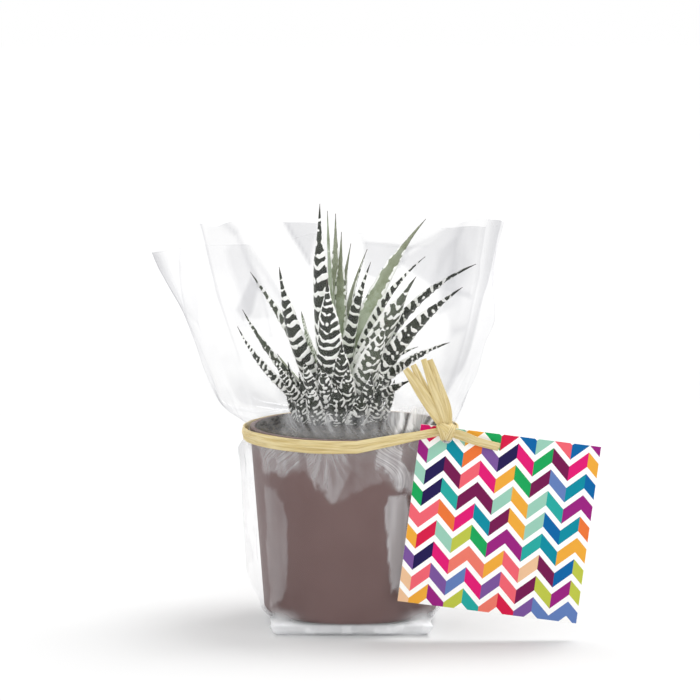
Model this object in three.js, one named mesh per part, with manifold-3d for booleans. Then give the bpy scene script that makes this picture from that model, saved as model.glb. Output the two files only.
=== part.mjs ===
// A young zebra haworthia in a tapered pot, standing in an open gift bag of clear film.
// A raffia band ties the bag round the rim of the pot and carries a square card tag.
// Units are millimetres, +Z is up, and the origin is the middle of the bag's base on the table.
// +X points right and -Y points to the side that the tag faces.

import * as THREE from 'three';
import { mergeVertices } from 'three/addons/utils/BufferGeometryUtils.js';
import Module from 'manifold-3d';

const wasm = await Module();
wasm.setup();

const UP = new THREE.Vector3(0, 0, 1);
const CLEARANCE = 0.3;

// ---------------------------------------------------------------- driving dimensions

const POT = {
  base: 3.5,
  rim: 56.2,
  baseRadius: 24.65,
  rimRadius: 28.6,
  wall: 1.4,
  floor: 2.0,
  edge: 1.6,
  footDepth: 0.8,
  footWidth: 3.2,
  sides: 56,
};

const CROWN = { x: -3, y: 0, rootHeight: 57, wellRadius: 10.2, wellDepth: 7 };

const SOIL = { edgeHeight: 53.2, moundHeight: 56.4, crumb: 0.45, rings: 9, sides: 44 };

const BAG = {
  film: 0.5,
  floorHalf: 20.6,
  panelSteps: 14,
  pleats: 20,
  pleatDepth: 0.55,
  gussetTop: 3.2,
  gussetWidth: 1.8,
  gussetLength: 54,
};

const RAFFIA = {
  width: 3.6,
  thickness: 0.9,
  ringRadius: 30.3,
  ringHeight: 54.6,
  ringSteps: 34,
  knot: new THREE.Vector3(26, -28.9, 59),
  knotSize: 2.5,
  throughHole: [1.6, 1.6, 2.8],
  bunched: 1.2,
};

const TAG = {
  side: 49.8,
  card: 0.5,
  tilt: THREE.MathUtils.degToRad(7.3),
  corner: new THREE.Vector3(19.2, -25.6, 60.3),
  holeAcross: 7.4,
  holeDown: 2.7,
  holeRadius: 1.7,
};

// Leaf directions are degrees round the crown: 0 is right, 90 the back, -90 the front.
// Leans are degrees from upright at the root and at the tip; roll turns a leaf on its length.
const LEAVES = [
  { azimuth: -125, out: 1, lean: [20, -4], length: 63.5, width: 5.8 },
  { azimuth: -105, out: 5, lean: [21, 3], length: 42, width: 9.2 },
  { azimuth: -170, out: 1, lean: [3, 2], length: 60, width: 5.2 },
  { azimuth: 100, out: 2.4, lean: [14, -4], length: 59, width: 5 },
  { azimuth: 70, out: 3, lean: [-8, 4], length: 54, width: 5 },
  { azimuth: 50, out: 3, lean: [-13, 17], length: 51, width: 4.6 },
  { azimuth: 30, out: 2, lean: [-10, 26], length: 50, width: 4.6 },
  { azimuth: -30, out: 1, lean: [-1, 23], length: 47, width: 5.6 },
  { azimuth: 22, out: 1, lean: [4, 44], length: 63.5, width: 7.4, roll: 35 },
  { azimuth: 8, out: 4, lean: [-4, 52], length: 53, width: 6 },
  { azimuth: -35, out: 2, lean: [20, 38], length: 49, width: 7.4 },
  { azimuth: -12, out: 5, lean: [10, 64], length: 60, width: 8 },
  { azimuth: -22, out: 5, lean: [21, 57], length: 52, width: 8.4 },
  { azimuth: -15, out: 3, lean: [28, 76], length: 39, width: 6.4 },
  { azimuth: 5, out: 5, lean: [4, 74], length: 29, width: 5 },
  { azimuth: -35, out: 3, lean: [46, 68], length: 26, width: 6 },
  { azimuth: 170, out: 1, lean: [27, 34], length: 49, width: 6 },
  { azimuth: -165, out: 1, lean: [35, 5], length: 48.5, width: 7.4 },
  { azimuth: -175, out: 1, lean: [50, 31], length: 42, width: 5 },
  { azimuth: -160, out: 1, lean: [63, 27], length: 42, width: 5.4 },
  { azimuth: 150, out: 1, lean: [26, 16], length: 33, width: 6.2 },
  { azimuth: -88, out: 7, lean: [14, 5], length: 36, width: 4.6 },
  { azimuth: -50, out: 5, lean: [20, 34], length: 34, width: 9 },
  { azimuth: -130, out: 6, lean: [38, 15], length: 22, width: 6.6 },
];

// Short leaves that close the rosette where it faces away from the tag.
const BACK_LEAVES = { count: 8, first: 35, step: 16.5, out: 5, lengths: [26, 24, 22], leans: [14, 46, 30] };

const LEAF = {
  bandPitch: 3.6,
  bandRelief: 0.35,
  bandFrom: 0.1,
  bandTo: 0.93,
  thickness: 0.36,
  thinnest: 0.8,
  rootSunk: 5,
};

const COLOURS = {
  pot: 0x756262,
  soil: 0x2b2927,
  leaf: 0x4f5b45,
  film: 0xeef0f0,
  raffia: 0xe4d296,
  card: 0xf2f0ee,
};

// ---------------------------------------------------------------- shared helpers

/** A repeatable random draw between -1 and 1. */
function seededDraw(seed) {
  let state = seed;
  return () => {
    state = (state * 1664525 + 1013904223) % 4294967296;
    return (state / 4294967296) * 2 - 1;
  };
}

function lerp(from, to, t) {
  return from + (to - from) * t;
}

/** A closed geometry through rings of vertices that run anticlockwise as seen from the last ring. */
function meshFromRings(rings) {
  const positions = [];
  const triangles = [];
  const sides = rings[0].length;
  for (const ring of rings) {
    for (const point of ring) {
      positions.push(point.x, point.y, point.z);
    }
  }
  for (let row = 0; row + 1 < rings.length; row += 1) {
    for (let side = 0; side < sides; side += 1) {
      const next = (side + 1) % sides;
      const a = row * sides + side;
      const b = row * sides + next;
      triangles.push(a, b, b + sides, a, b + sides, a + sides);
    }
  }
  addCap(positions, triangles, rings[0], 0, true);
  addCap(positions, triangles, rings.at(-1), (rings.length - 1) * sides, false);
  const geometry = new THREE.BufferGeometry();
  geometry.setAttribute('position', new THREE.Float32BufferAttribute(positions, 3));
  geometry.setIndex(triangles);
  return geometry;
}

/** Closes a ring of vertices with a fan about its middle. */
function addCap(positions, triangles, ring, start, reversed) {
  const middle = new THREE.Vector3();
  for (const point of ring) {
    middle.add(point);
  }
  middle.divideScalar(ring.length);
  const hub = positions.length / 3;
  positions.push(middle.x, middle.y, middle.z);
  for (let side = 0; side < ring.length; side += 1) {
    const here = start + side;
    const next = start + ((side + 1) % ring.length);
    if (reversed) {
      triangles.push(hub, next, here);
    } else {
      triangles.push(hub, here, next);
    }
  }
}

/** Turns a closed geometry into a solid that can be joined and cut. */
function solid(geometry) {
  const bare = geometry.clone();
  bare.deleteAttribute('normal');
  bare.deleteAttribute('uv');
  const merged = mergeVertices(bare, 1e-4);
  return new wasm.Manifold(new wasm.Mesh({
    numProp: 3,
    vertProperties: new Float32Array(merged.attributes.position.array),
    triVerts: new Uint32Array(merged.index.array),
  }));
}

/** Turns a solid back into a geometry. */
function geometryOf(body) {
  const mesh = body.getMesh();
  const geometry = new THREE.BufferGeometry();
  const positions = new Float32Array(mesh.numVert * 3);
  for (let vertex = 0; vertex < mesh.numVert; vertex += 1) {
    for (let axis = 0; axis < 3; axis += 1) {
      positions[vertex * 3 + axis] = mesh.vertProperties[vertex * mesh.numProp + axis];
    }
  }
  geometry.setAttribute('position', new THREE.BufferAttribute(positions, 3));
  geometry.setIndex(new THREE.BufferAttribute(new Uint32Array(mesh.triVerts), 1));
  geometry.computeVertexNormals();
  return geometry;
}

/** Joins bodies that grow together, and fills any hollow that the joining seals. */
function joined(bodies) {
  const whole = bodies.reduce((sum, body) => sum.add(body));
  return whole.decompose().reduce((kept, skin) => (skin.volume() > kept.volume() ? skin : kept));
}

/** A lathe about +Z from a closed profile of [radius, height] pairs. */
function latheAboutZ(profile, sides) {
  const points = profile.map(([radius, height]) => new THREE.Vector2(radius, height));
  const geometry = new THREE.LatheGeometry(points, sides);
  geometry.rotateX(Math.PI / 2);
  return geometry;
}

function namedMesh(name, geometry, colour, roughness) {
  const material = new THREE.MeshStandardMaterial({ color: colour, roughness, metalness: 0 });
  const mesh = new THREE.Mesh(geometry, material);
  mesh.name = name;
  return mesh;
}

// ---------------------------------------------------------------- pot and soil

/** Outer radius of the pot at a height: a straight taper from its base to its rim. */
function potRadius(height) {
  const t = (height - POT.base) / (POT.rim - POT.base);
  return lerp(POT.baseRadius, POT.rimRadius, THREE.MathUtils.clamp(t, 0, 1));
}

/** The pot: a tapered cup with a rounded lower edge, a shallow foot ring and a flat rim. */
function potGeometry() {
  const { base, rim, wall, floor, edge, footDepth, footWidth } = POT;
  const footRadius = POT.baseRadius - edge;
  const inside = base + footDepth + floor;
  return latheAboutZ([
    [0, base + footDepth],
    [footRadius - footWidth, base + footDepth],
    [footRadius - footWidth + footDepth, base],
    [footRadius - 0.6, base],
    [potRadius(base) - 0.5, base + 0.5 * edge],
    [potRadius(base + edge), base + edge],
    [potRadius(rim) - 0.3, rim - 0.3],
    [potRadius(rim) - 0.6, rim],
    [potRadius(rim) - wall + 0.2, rim],
    [potRadius(rim) - wall, rim - 0.3],
    [potRadius(inside) - wall, inside],
    [0, inside],
  ], POT.sides);
}

/** Height of the soil at a distance from the pot's axis, before its crumbs. */
function soilHeight(radius, rimOfSoil) {
  const t = THREE.MathUtils.smoothstep(radius, 0.35 * rimOfSoil, rimOfSoil);
  return lerp(SOIL.moundHeight, SOIL.edgeHeight, t);
}

/** The soil: it fills the pot, mounds up to the plant and has a well for the plant's crown. */
function soilGeometry() {
  const draw = seededDraw(11);
  const bottom = POT.base + POT.footDepth + POT.floor + CLEARANCE;
  const lowRadius = potRadius(bottom) - POT.wall - CLEARANCE;
  const topRadius = potRadius(SOIL.edgeHeight) - POT.wall - CLEARANCE - 0.1;
  const circle = (radius, height, crumb) => Array.from({ length: SOIL.sides }, (_, side) => {
    const angle = (side / SOIL.sides) * 2 * Math.PI;
    const lift = crumb * draw();
    return new THREE.Vector3(radius * Math.cos(angle), radius * Math.sin(angle), height + lift);
  });
  const rings = [circle(lowRadius, bottom, 0), circle(topRadius, SOIL.edgeHeight, 0)];
  for (let ring = 1; ring < SOIL.rings; ring += 1) {
    const radius = topRadius * (1 - ring / SOIL.rings);
    rings.push(circle(radius, soilHeight(radius, topRadius), SOIL.crumb));
  }
  const well = new THREE.CylinderGeometry(CROWN.wellRadius, CROWN.wellRadius, 2 * CROWN.wellDepth, 28);
  well.rotateX(Math.PI / 2);
  well.translate(CROWN.x, CROWN.y, SOIL.moundHeight);
  return geometryOf(solid(meshFromRings(rings)).subtract(solid(well)));
}

// ---------------------------------------------------------------- haworthia

/** Half width of a leaf at a share of its length: full low down, drawn out to a fine point. */
function leafHalfWidth(leaf, share) {
  return 0.5 * leaf.width * Math.pow(1 - share, 0.75) * (1 + 0.6 * share);
}

/** The centre line of a leaf, its outward side and its across direction at a share of its length. */
function leafFrames(leaf, shares) {
  const azimuth = THREE.MathUtils.degToRad(leaf.azimuth);
  const radial = new THREE.Vector3(Math.cos(azimuth), Math.sin(azimuth), 0);
  const level = new THREE.Vector3(-Math.sin(azimuth), Math.cos(azimuth), 0);
  const leanAt = (share) => THREE.MathUtils.degToRad(lerp(leaf.lean[0], leaf.lean[1], Math.max(share, 0)));
  const along = (share) => {
    const lean = leanAt(share);
    return radial.clone().multiplyScalar(Math.sin(lean)).addScaledVector(UP, Math.cos(lean));
  };
  const point = new THREE.Vector3(CROWN.x, CROWN.y, CROWN.rootHeight).addScaledVector(radial, leaf.out);
  let last = 0;
  return shares.map((share) => {
    point.addScaledVector(along(0.5 * (share + last)), (share - last) * leaf.length);
    last = share;
    const forward = along(share);
    const roll = THREE.MathUtils.degToRad(leaf.roll ?? 0);
    const across = level.clone().applyAxisAngle(forward, roll);
    const outer = new THREE.Vector3().crossVectors(across, forward);
    return { point: point.clone(), across, outer };
  });
}

/** One leaf: flat inside, keeled outside, with raised bands across its outer side. */
function leafGeometry(leaf) {
  const bands = Math.max(4, Math.round((LEAF.bandTo - LEAF.bandFrom) * leaf.length / LEAF.bandPitch));
  const rings = [{ share: -LEAF.rootSunk / leaf.length, relief: 0 }, { share: 0, relief: 0 }];
  for (let step = 0; step <= 2 * bands; step += 1) {
    const share = lerp(LEAF.bandFrom, LEAF.bandTo, step / (2 * bands));
    rings.push({ share, relief: step % 2 === 1 ? LEAF.bandRelief : 0 });
  }
  rings.push({ share: 0.985, relief: 0 });
  const frames = leafFrames(leaf, rings.map((ring) => ring.share));
  const sections = frames.map(({ point, across, outer }, index) => {
    const { share, relief } = rings[index];
    const shareOnLeaf = Math.max(share, 0);
    const half = Math.max(leafHalfWidth(leaf, shareOnLeaf), 0.25);
    const relieved = relief * Math.min(1, half / 1.5);
    const deep = Math.max(LEAF.thickness * 2 * half, Math.min(LEAF.thinnest, 1.6 * half));
    const place = (side, depth) => point.clone().addScaledVector(across, side).addScaledVector(outer, depth);
    return [
      place(-half, -0.25 * deep),
      place(-0.62 * half, 0.3 * deep + relieved),
      place(0, 0.55 * deep + relieved),
      place(0.62 * half, 0.3 * deep + relieved),
      place(half, -0.25 * deep),
      place(0, -0.45 * deep),
    ];
  });
  return meshFromRings(sections);
}

/** The plant: every leaf grows from one short crown that sits in the soil's well. */
function haworthiaGeometry() {
  const radius = CROWN.wellRadius - CLEARANCE - 0.2;
  const bottom = SOIL.moundHeight - CROWN.wellDepth + CLEARANCE;
  const crown = latheAboutZ([
    [0, bottom],
    [0.7 * radius, bottom],
    [radius, CROWN.rootHeight - 2],
    [0.86 * radius, CROWN.rootHeight + 2],
    [0.5 * radius, CROWN.rootHeight + 6],
    [0, CROWN.rootHeight + 7.5],
  ], 18);
  crown.translate(CROWN.x, CROWN.y, 0);
  const backs = Array.from({ length: BACK_LEAVES.count }, (_, index) => {
    const lean = BACK_LEAVES.leans[index % 3];
    return {
      azimuth: BACK_LEAVES.first + BACK_LEAVES.step * index,
      out: BACK_LEAVES.out,
      lean: [lean, lean - 10],
      length: BACK_LEAVES.lengths[index % 3],
      width: 6.2,
    };
  });
  const leaves = [...LEAVES, ...backs].map((leaf) => solid(leafGeometry(leaf)));
  return geometryOf(joined([solid(crown), ...leaves]));
}

// ---------------------------------------------------------------- bag of clear film

/**
 * Sections of the bag from its base to its mouth. Each has the front left, front right, back
 * right and back left corner, and how far the front, right, back and left panel bow outwards.
 */
function bagSections() {
  const level = (height, half, bow) => ({
    corners: [[-half, -half], [half, -half], [half, half], [-half, half]].map(([x, y]) => [x, y, height]),
    bows: [bow, bow, bow, bow],
    pleat: 0,
  });
  const round = (height, radius, pleat = 0) => {
    const half = radius * Math.SQRT1_2;
    return { ...level(height, half, radius - half), pleat };
  };
  const hug = (height) => potRadius(height) + CLEARANCE + BAG.film + 0.5;
  const neck = RAFFIA.ringRadius - 0.5 * RAFFIA.thickness - CLEARANCE - 0.1;
  return [
    level(0, BAG.floorHalf, 0.2),
    level(1, BAG.floorHalf + 1.3, 0.2),
    level(3, BAG.floorHalf + 2.2, 0.2),
    level(4.4, 19.9, 6),
    round(12, hug(12) + 0.4),
    round(30, hug(30)),
    round(46, hug(46)),
    round(52.5, neck),
    round(56.8, neck),
    {
      corners: [[-25.5, -18.5, 61], [24, -18.5, 61], [27, 17, 61], [-37.5, 13, 60]],
      bows: [9, 6, 9, 3],
      pleat: 1,
    },
    {
      corners: [[-29, -20, 72], [28, -20, 73], [33, 18, 72], [-42.5, 17, 70]],
      bows: [6, 5, 7, 3],
      pleat: 0.8,
    },
    {
      corners: [[-34, -18.5, 87], [32.7, -18.5, 87.5], [37.4, 17, 87.5], [-47.5, 17, 84]],
      bows: [5, 4, 6, 3],
      pleat: 0.4,
    },
    {
      corners: [[-38.5, -16, 102], [35, -16, 102], [40, 15.5, 101], [-53, 15, 95]],
      bows: [4, 3, 5, 2.5],
      pleat: 0.2,
    },
    {
      corners: [[-41.5, -14, 115], [36.5, -14, 115], [42.2, 14, 112.6], [-57, 13.5, 104]],
      bows: [3, 2, 4, 2],
      pleat: 0,
    },
  ];
}

/** Points along one panel: the arc between two corners that bows outwards by its sagitta. */
function panelArc(from, to, bow, steps) {
  const start = new THREE.Vector3(...from);
  const chord = new THREE.Vector3(...to).sub(start);
  const flat = Math.hypot(chord.x, chord.y);
  const outward = new THREE.Vector3(chord.y / flat, -chord.x / flat, 0);
  const radius = (flat * flat / 4 + bow * bow) / (2 * bow);
  const halfAngle = Math.asin(Math.min(1, flat / 2 / radius));
  return Array.from({ length: steps }, (_, step) => {
    const angle = lerp(-halfAngle, halfAngle, step / steps);
    const share = 0.5 + 0.5 * Math.sin(angle) / Math.sin(halfAngle);
    const rise = radius * (Math.cos(angle) - Math.cos(halfAngle));
    return start.clone().addScaledVector(chord, share).addScaledVector(outward, rise);
  });
}

/** One closed section of the bag, with its pleats, moved inwards by an inset. */
function bagRing(section, inset) {
  const { corners, bows, pleat } = section;
  const points = corners.flatMap((corner, index) => (
    panelArc(corner, corners[(index + 1) % 4], bows[index], BAG.panelSteps)
  ));
  return points.map((point, index) => {
    const before = points.at(index - 1);
    const after = points[(index + 1) % points.length];
    const tangent = after.clone().sub(before).setZ(0).normalize();
    const outward = new THREE.Vector3(tangent.y, -tangent.x, 0);
    const wave = Math.cos((index / points.length) * BAG.pleats * 2 * Math.PI);
    return point.clone().addScaledVector(outward, BAG.pleatDepth * pleat * wave - inset);
  });
}

/** The bag: one open-topped skin of film whose folded base carries the pot. */
function bagGeometry() {
  const sections = bagSections();
  const outside = sections.map((section) => bagRing(section, 0));
  const inside = sections.map((section) => bagRing(section, BAG.film));
  for (const point of inside[0]) {
    point.z += BAG.film;
  }
  const skin = meshFromRings([...outside, ...inside.reverse()]);
  const folds = [1, -1].map((side) => {
    const height = BAG.gussetTop - 0.5 * BAG.film;
    const fold = new THREE.BoxGeometry(BAG.gussetLength, BAG.gussetWidth, height);
    fold.rotateZ(side * Math.PI / 4);
    fold.translate(0, 0, BAG.gussetTop - 0.5 * height);
    return solid(fold);
  });
  return geometryOf(joined([solid(skin), ...folds]));
}

// ---------------------------------------------------------------- raffia tie and tag

/** A flat strand along a path, with its width and thickness given at each point. */
function strand(path, widths, thicknesses, outwardAt) {
  const sections = path.map((point, index) => {
    const before = path[Math.max(index - 1, 0)];
    const after = path[Math.min(index + 1, path.length - 1)];
    const forward = after.clone().sub(before).normalize();
    const outward = outwardAt(point).clone();
    outward.addScaledVector(forward, -outward.dot(forward)).normalize();
    const across = new THREE.Vector3().crossVectors(outward, forward);
    const halfWidth = 0.5 * widths[index];
    const halfThick = 0.5 * thicknesses[index];
    const outline = [[1, 0.4], [0.7, 1], [-0.7, 1], [-1, 0.4], [-1, -0.4], [-0.7, -1], [0.7, -1], [1, -0.4]];
    return outline.map(([side, depth]) => (
      point.clone().addScaledVector(across, side * halfWidth).addScaledVector(outward, depth * halfThick)
    ));
  });
  return solid(meshFromRings(sections));
}

/** The band round the rim: it leaves the bag at two tangents that meet in the knot. */
function raffiaBand() {
  const { knot, ringRadius, ringHeight, ringSteps, width, thickness } = RAFFIA;
  const knotAngle = Math.atan2(knot.y, knot.x);
  const tangentAngle = Math.acos(ringRadius / Math.hypot(knot.x, knot.y));
  const first = knotAngle + tangentAngle;
  const last = knotAngle - tangentAngle + 2 * Math.PI;
  const arc = Array.from({ length: ringSteps + 1 }, (_, step) => {
    const angle = lerp(first, last, step / ringSteps);
    return new THREE.Vector3(ringRadius * Math.cos(angle), ringRadius * Math.sin(angle), ringHeight);
  });
  const hole = tagPoint(TAG.holeAcross, TAG.holeDown + 0.1);
  const path = [knot, hole, hole.clone().lerp(arc[0], 0.5), ...arc, knot];
  const widths = path.map(() => width);
  const thicknesses = path.map(() => thickness);
  RAFFIA.throughHole.forEach((narrow, index) => {
    widths[index] = narrow;
    thicknesses[index] = RAFFIA.bunched;
  });
  return strand(path, widths, thicknesses, (point) => new THREE.Vector3(point.x, point.y, 0.01));
}

/** The knot: a small ball crossed by the two turns that close it. */
function raffiaKnot() {
  const { knot, knotSize } = RAFFIA;
  const ball = new THREE.SphereGeometry(knotSize, 12, 8);
  ball.scale(1.05, 0.8, 1);
  const turns = [0.5, -0.7].map((lean) => {
    const turn = new THREE.TorusGeometry(knotSize * 0.72, knotSize * 0.36, 6, 14);
    turn.rotateY(Math.PI / 2 + lean);
    turn.rotateX(lean);
    return solid(turn.translate(knot.x, knot.y, knot.z));
  });
  return joined([solid(ball.translate(knot.x, knot.y, knot.z)), ...turns]);
}

/** The loose ends: two broad ones that stand up against the bag and one across the tag. */
function raffiaEnds() {
  const { knot } = RAFFIA;
  const facing = () => new THREE.Vector3(0, -1, 0);
  const ends = [
    { points: [[22.6, -28.4, 63], [19.4, -28, 69.5], [16.2, -27.7, 76.4]], widths: [3, 3.6, 3.8, 3.6] },
    { points: [[25.2, -28.2, 64], [23.6, -28, 71.5], [20.6, -27.8, 78.4]], widths: [3, 3.4, 3.2, 2.6] },
    { points: [[30, -27.6, 57.3], [35.5, -27, 55.6], [40.8, -26.9, 54]], widths: [2.4, 2.4, 2.3, 2] },
  ];
  return ends.map(({ points, widths }) => {
    const path = [knot, ...points.map((point) => new THREE.Vector3(...point))];
    return strand(path, widths, widths.map(() => 0.7), facing);
  });
}

function raffiaGeometry() {
  return geometryOf(joined([raffiaBand(), raffiaKnot(), ...raffiaEnds()]));
}

/** A point on the tag, given across and down from its upper left corner. */
function tagPoint(across, down) {
  const right = new THREE.Vector3(Math.cos(TAG.tilt), 0, -Math.sin(TAG.tilt));
  const below = new THREE.Vector3(-Math.sin(TAG.tilt), 0, -Math.cos(TAG.tilt));
  return TAG.corner.clone().addScaledVector(right, across).addScaledVector(below, down);
}

/** The tag: a square card with one hole near its upper left corner. */
function tagMesh() {
  const { side, card, tilt, corner, holeAcross, holeDown, holeRadius } = TAG;
  const outline = new THREE.Shape();
  outline.moveTo(0, 0);
  outline.lineTo(0, -side);
  outline.lineTo(side, -side);
  outline.lineTo(side, 0);
  const hole = new THREE.Path();
  hole.absarc(holeAcross, -holeDown, holeRadius, 0, 2 * Math.PI);
  outline.holes.push(hole);
  const geometry = new THREE.ExtrudeGeometry(outline, { depth: card, bevelEnabled: false, curveSegments: 8 });
  geometry.rotateX(Math.PI / 2);
  const mesh = namedMesh('tag', geometry, COLOURS.card, 0.6);
  mesh.position.copy(corner);
  mesh.rotation.y = tilt;
  return mesh;
}

// ---------------------------------------------------------------- assembly

const pottedHaworthia = new THREE.Group();
pottedHaworthia.add(
  namedMesh('pot', potGeometry(), COLOURS.pot, 0.45),
  namedMesh('soil', soilGeometry(), COLOURS.soil, 0.95),
  namedMesh('haworthia', haworthiaGeometry(), COLOURS.leaf, 0.5),
  namedMesh('film_bag', bagGeometry(), COLOURS.film, 0.1),
  namedMesh('raffia_tie', raffiaGeometry(), COLOURS.raffia, 0.8),
  tagMesh(),
);

export default pottedHaworthia;
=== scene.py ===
"""A young zebra haworthia in a tapered pot, standing in an open gift bag of clear film.

A band of raffia ties the bag round the rim of the pot, and its knot carries a square card tag.
Lengths are metres, +Z is up, the origin is the middle of the bag's base on the table, +X points
to the side where the tag hangs and -Y to the side that its printed face looks at.
"""

import logging
from dataclasses import dataclass, field
from enum import Enum, IntEnum
from math import cos, pi, radians, sin

import bpy
import numpy as np
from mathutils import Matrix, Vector


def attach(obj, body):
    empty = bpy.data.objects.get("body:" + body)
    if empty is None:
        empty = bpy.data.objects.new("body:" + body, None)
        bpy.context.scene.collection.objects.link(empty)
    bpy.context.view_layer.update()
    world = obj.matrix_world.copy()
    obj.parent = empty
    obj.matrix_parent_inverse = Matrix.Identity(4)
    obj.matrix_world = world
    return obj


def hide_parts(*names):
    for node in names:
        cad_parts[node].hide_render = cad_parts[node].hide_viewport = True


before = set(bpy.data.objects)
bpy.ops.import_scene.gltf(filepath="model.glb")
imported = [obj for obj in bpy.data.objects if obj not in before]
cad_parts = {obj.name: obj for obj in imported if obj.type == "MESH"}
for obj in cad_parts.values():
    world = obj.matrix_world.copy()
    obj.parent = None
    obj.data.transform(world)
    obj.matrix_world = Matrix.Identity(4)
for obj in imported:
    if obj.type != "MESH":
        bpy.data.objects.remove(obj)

MM = 0.001
TURN = 2 * pi
UP = np.array([0.0, 0.0, 1.0])
SMALL_HUB = 0.01 * MM

Point = tuple[float, float, float]
Colour = tuple[float, float, float, float]
Values = np.ndarray | float
Socket = bpy.types.NodeSocket
Feed = Socket | float | tuple[float, ...]

log = logging.getLogger("potted haworthia")


class Seed(IntEnum):
    """Where each random draw starts."""

    SOIL_LUMPS = 3
    SOIL_GRIT = 4
    CRUMB_PLACES = 5
    CRUMB_DENTS = 6
    BAND_BEND = 21
    BAND_LUMPS = 22
    MARGIN_BEADS = 23
    INNER_TEETH = 24
    FILM_WARP = 31
    FILM_CRINKLE = 32
    FILM_FACETS = 33
    FILM_CRUMPLES = 34
    FILM_RIPPLES = 35
    BASE_DENTS = 36
    HIGHLIGHT_EDGE = 37
    HIGHLIGHT_STREAKS = 38
    PANEL_VEIL = 39
    HIGHLIGHT_FRINGE = 40
    WRINKLE_SHADE_AND_RIBS = 41
    STRAND_WIDTH = 42
    BAND_WANDER = 43


def paint(red: int, green: int, blue: int) -> Colour:
    """A colour as it looks on a screen, as linear light with full alpha.

    Args:
        red: Red from 0 to 255.
        green: Green from 0 to 255.
        blue: Blue from 0 to 255.

    Returns:
        Red, green, blue and alpha from 0 to 1.
    """
    channels = np.array([red, green, blue]) / 255
    low, high = channels / 12.92, ((channels + 0.055) / 1.055) ** 2.4
    linear = np.where(channels <= 0.04045, low, high)
    return (float(linear[0]), float(linear[1]), float(linear[2]), 1.0)


# -------------------- shapes worked out as arrays


def eased(value: Values, low: Values, high: Values) -> np.ndarray:
    """Go from 0 at low to 1 at high along the smooth step 3t^2 - 2t^3."""
    share = np.clip((value - low) / (high - low), 0.0, 1.0)
    return share * share * (3.0 - 2.0 * share)


def bell(distance: Values, width: Values) -> np.ndarray:
    """A bell curve, 1 at no distance and exp(-1) at one width."""
    return np.exp(-((distance / width) ** 2))


def zigzag(phase: np.ndarray) -> np.ndarray:
    """A folded line between -1 and 1 that repeats once for each whole step of the phase."""
    return 4.0 * np.abs(phase - np.floor(phase + 0.5)) - 1.0


def unit(vectors: np.ndarray) -> np.ndarray:
    """The same directions with a length of one."""
    return vectors / np.maximum(np.linalg.norm(vectors, axis=-1, keepdims=True), 1e-12)


def lattice_noise(places: np.ndarray, seed: int) -> np.ndarray:
    """Smooth random heights between -1 and 1.

    Each corner of a unit lattice has a random height, and a place takes the heights of the eight
    corners round it, blended by the smooth step along each axis. The lattice repeats after 32.

    Args:
        places: Points in lattice units, shape (..., 3).
        seed: Chooses the heights.

    Returns:
        One height for each place.
    """
    table = np.random.default_rng(seed).uniform(-1.0, 1.0, (32, 32, 32))
    whole = np.floor(places).astype(int)
    part = places - whole
    part = part * part * (3.0 - 2.0 * part)
    total = np.zeros(places.shape[:-1])
    for corner in np.ndindex(2, 2, 2):
        weight = np.prod(np.where(corner, part, 1.0 - part), axis=-1)
        at = (whole + corner) % 32
        total += weight * table[at[..., 0], at[..., 1], at[..., 2]]
    return total


def noise_over(seed: int, *axes: Values) -> np.ndarray:
    """Lattice noise at places whose three coordinates come as arrays that broadcast."""
    return lattice_noise(np.stack(np.broadcast_arrays(*axes), axis=-1), seed)


def crumple(places: np.ndarray, size: float, seed: int, folds: int = 5) -> np.ndarray:
    """The heights of film that has been crushed and opened again, between about -1 and 1.

    Pairs of folded lines run in random directions with random lengths near size. The higher of
    each pair is kept, so that flat facets meet in straight creases, and the pairs are averaged.

    Args:
        places: Points in metres, shape (..., 3).
        size: Typical length of a facet.
        seed: Chooses the directions.
        folds: Number of pairs.

    Returns:
        One height for each place.
    """
    draw = np.random.default_rng(seed)
    total = np.zeros(places.shape[:-1])
    for _ in range(folds):
        waves = []
        for _ in range(2):
            way = unit(draw.normal(size=3) * (1.0, 1.0, 0.75))
            length = size * draw.uniform(1.2, 2.8)
            waves.append(zigzag(places @ way / length + draw.uniform()))
        total += np.maximum(*waves) - 0.33
    return total / folds**0.5


def smooth_path(knots: np.ndarray, count: int) -> np.ndarray:
    """A smooth line through a few knots.

    Between two knots the line is the cubic of Catmull and Rom, whose slope at a knot is half the
    step from the knot before it to the knot after it.

    Args:
        knots: Values at the knots, shape (knots, values).
        count: Number of points on the line.

    Returns:
        The values along the line, shape (count, values).
    """
    padded = np.vstack([2 * knots[0] - knots[1], knots, 2 * knots[-1] - knots[-2]])
    along = np.linspace(0, len(knots) - 1, count)
    start = np.minimum(along.astype(int), len(knots) - 2)
    t = (along - start)[:, None]
    a, b, c, d = (padded[start + step] for step in range(4))
    bent = (2 * a - 5 * b + 4 * c - d) * t + (3 * b - a - 3 * c + d) * t * t
    return b + 0.5 * t * ((c - a) + bent)


def filleted(corners: list[tuple[float, float, float]], steps: int = 6) -> np.ndarray:
    """A profile whose corners are rounded.

    Each corner is replaced by the quadratic curve that leaves one side and joins the next at the
    corner's own distance, or at half of the shorter side where that is less.

    Args:
        corners: Radius, height and rounding of each corner; the first and last stay sharp.
        steps: Points on each rounded corner.

    Returns:
        Radius and height along the profile, shape (points, 2).
    """
    table = np.array(corners)
    here, before, after = table[1:-1, :2], table[:-2, :2], table[2:, :2]
    back, on = before - here, after - here
    lengths = np.linalg.norm([back, on], axis=-1)
    cut = np.minimum(table[1:-1, 2], 0.5 * lengths.min(axis=0))[:, None]
    first, last = here + unit(back) * cut, here + unit(on) * cut
    t = np.linspace(0, 1, steps)[None, :, None]
    curve = first[:, None] * (1 - t) ** 2 + 2 * here[:, None] * t * (1 - t) + last[:, None] * t**2
    return np.vstack([table[:1, :2], curve.reshape(-1, 2), table[-1:, :2]])


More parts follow.
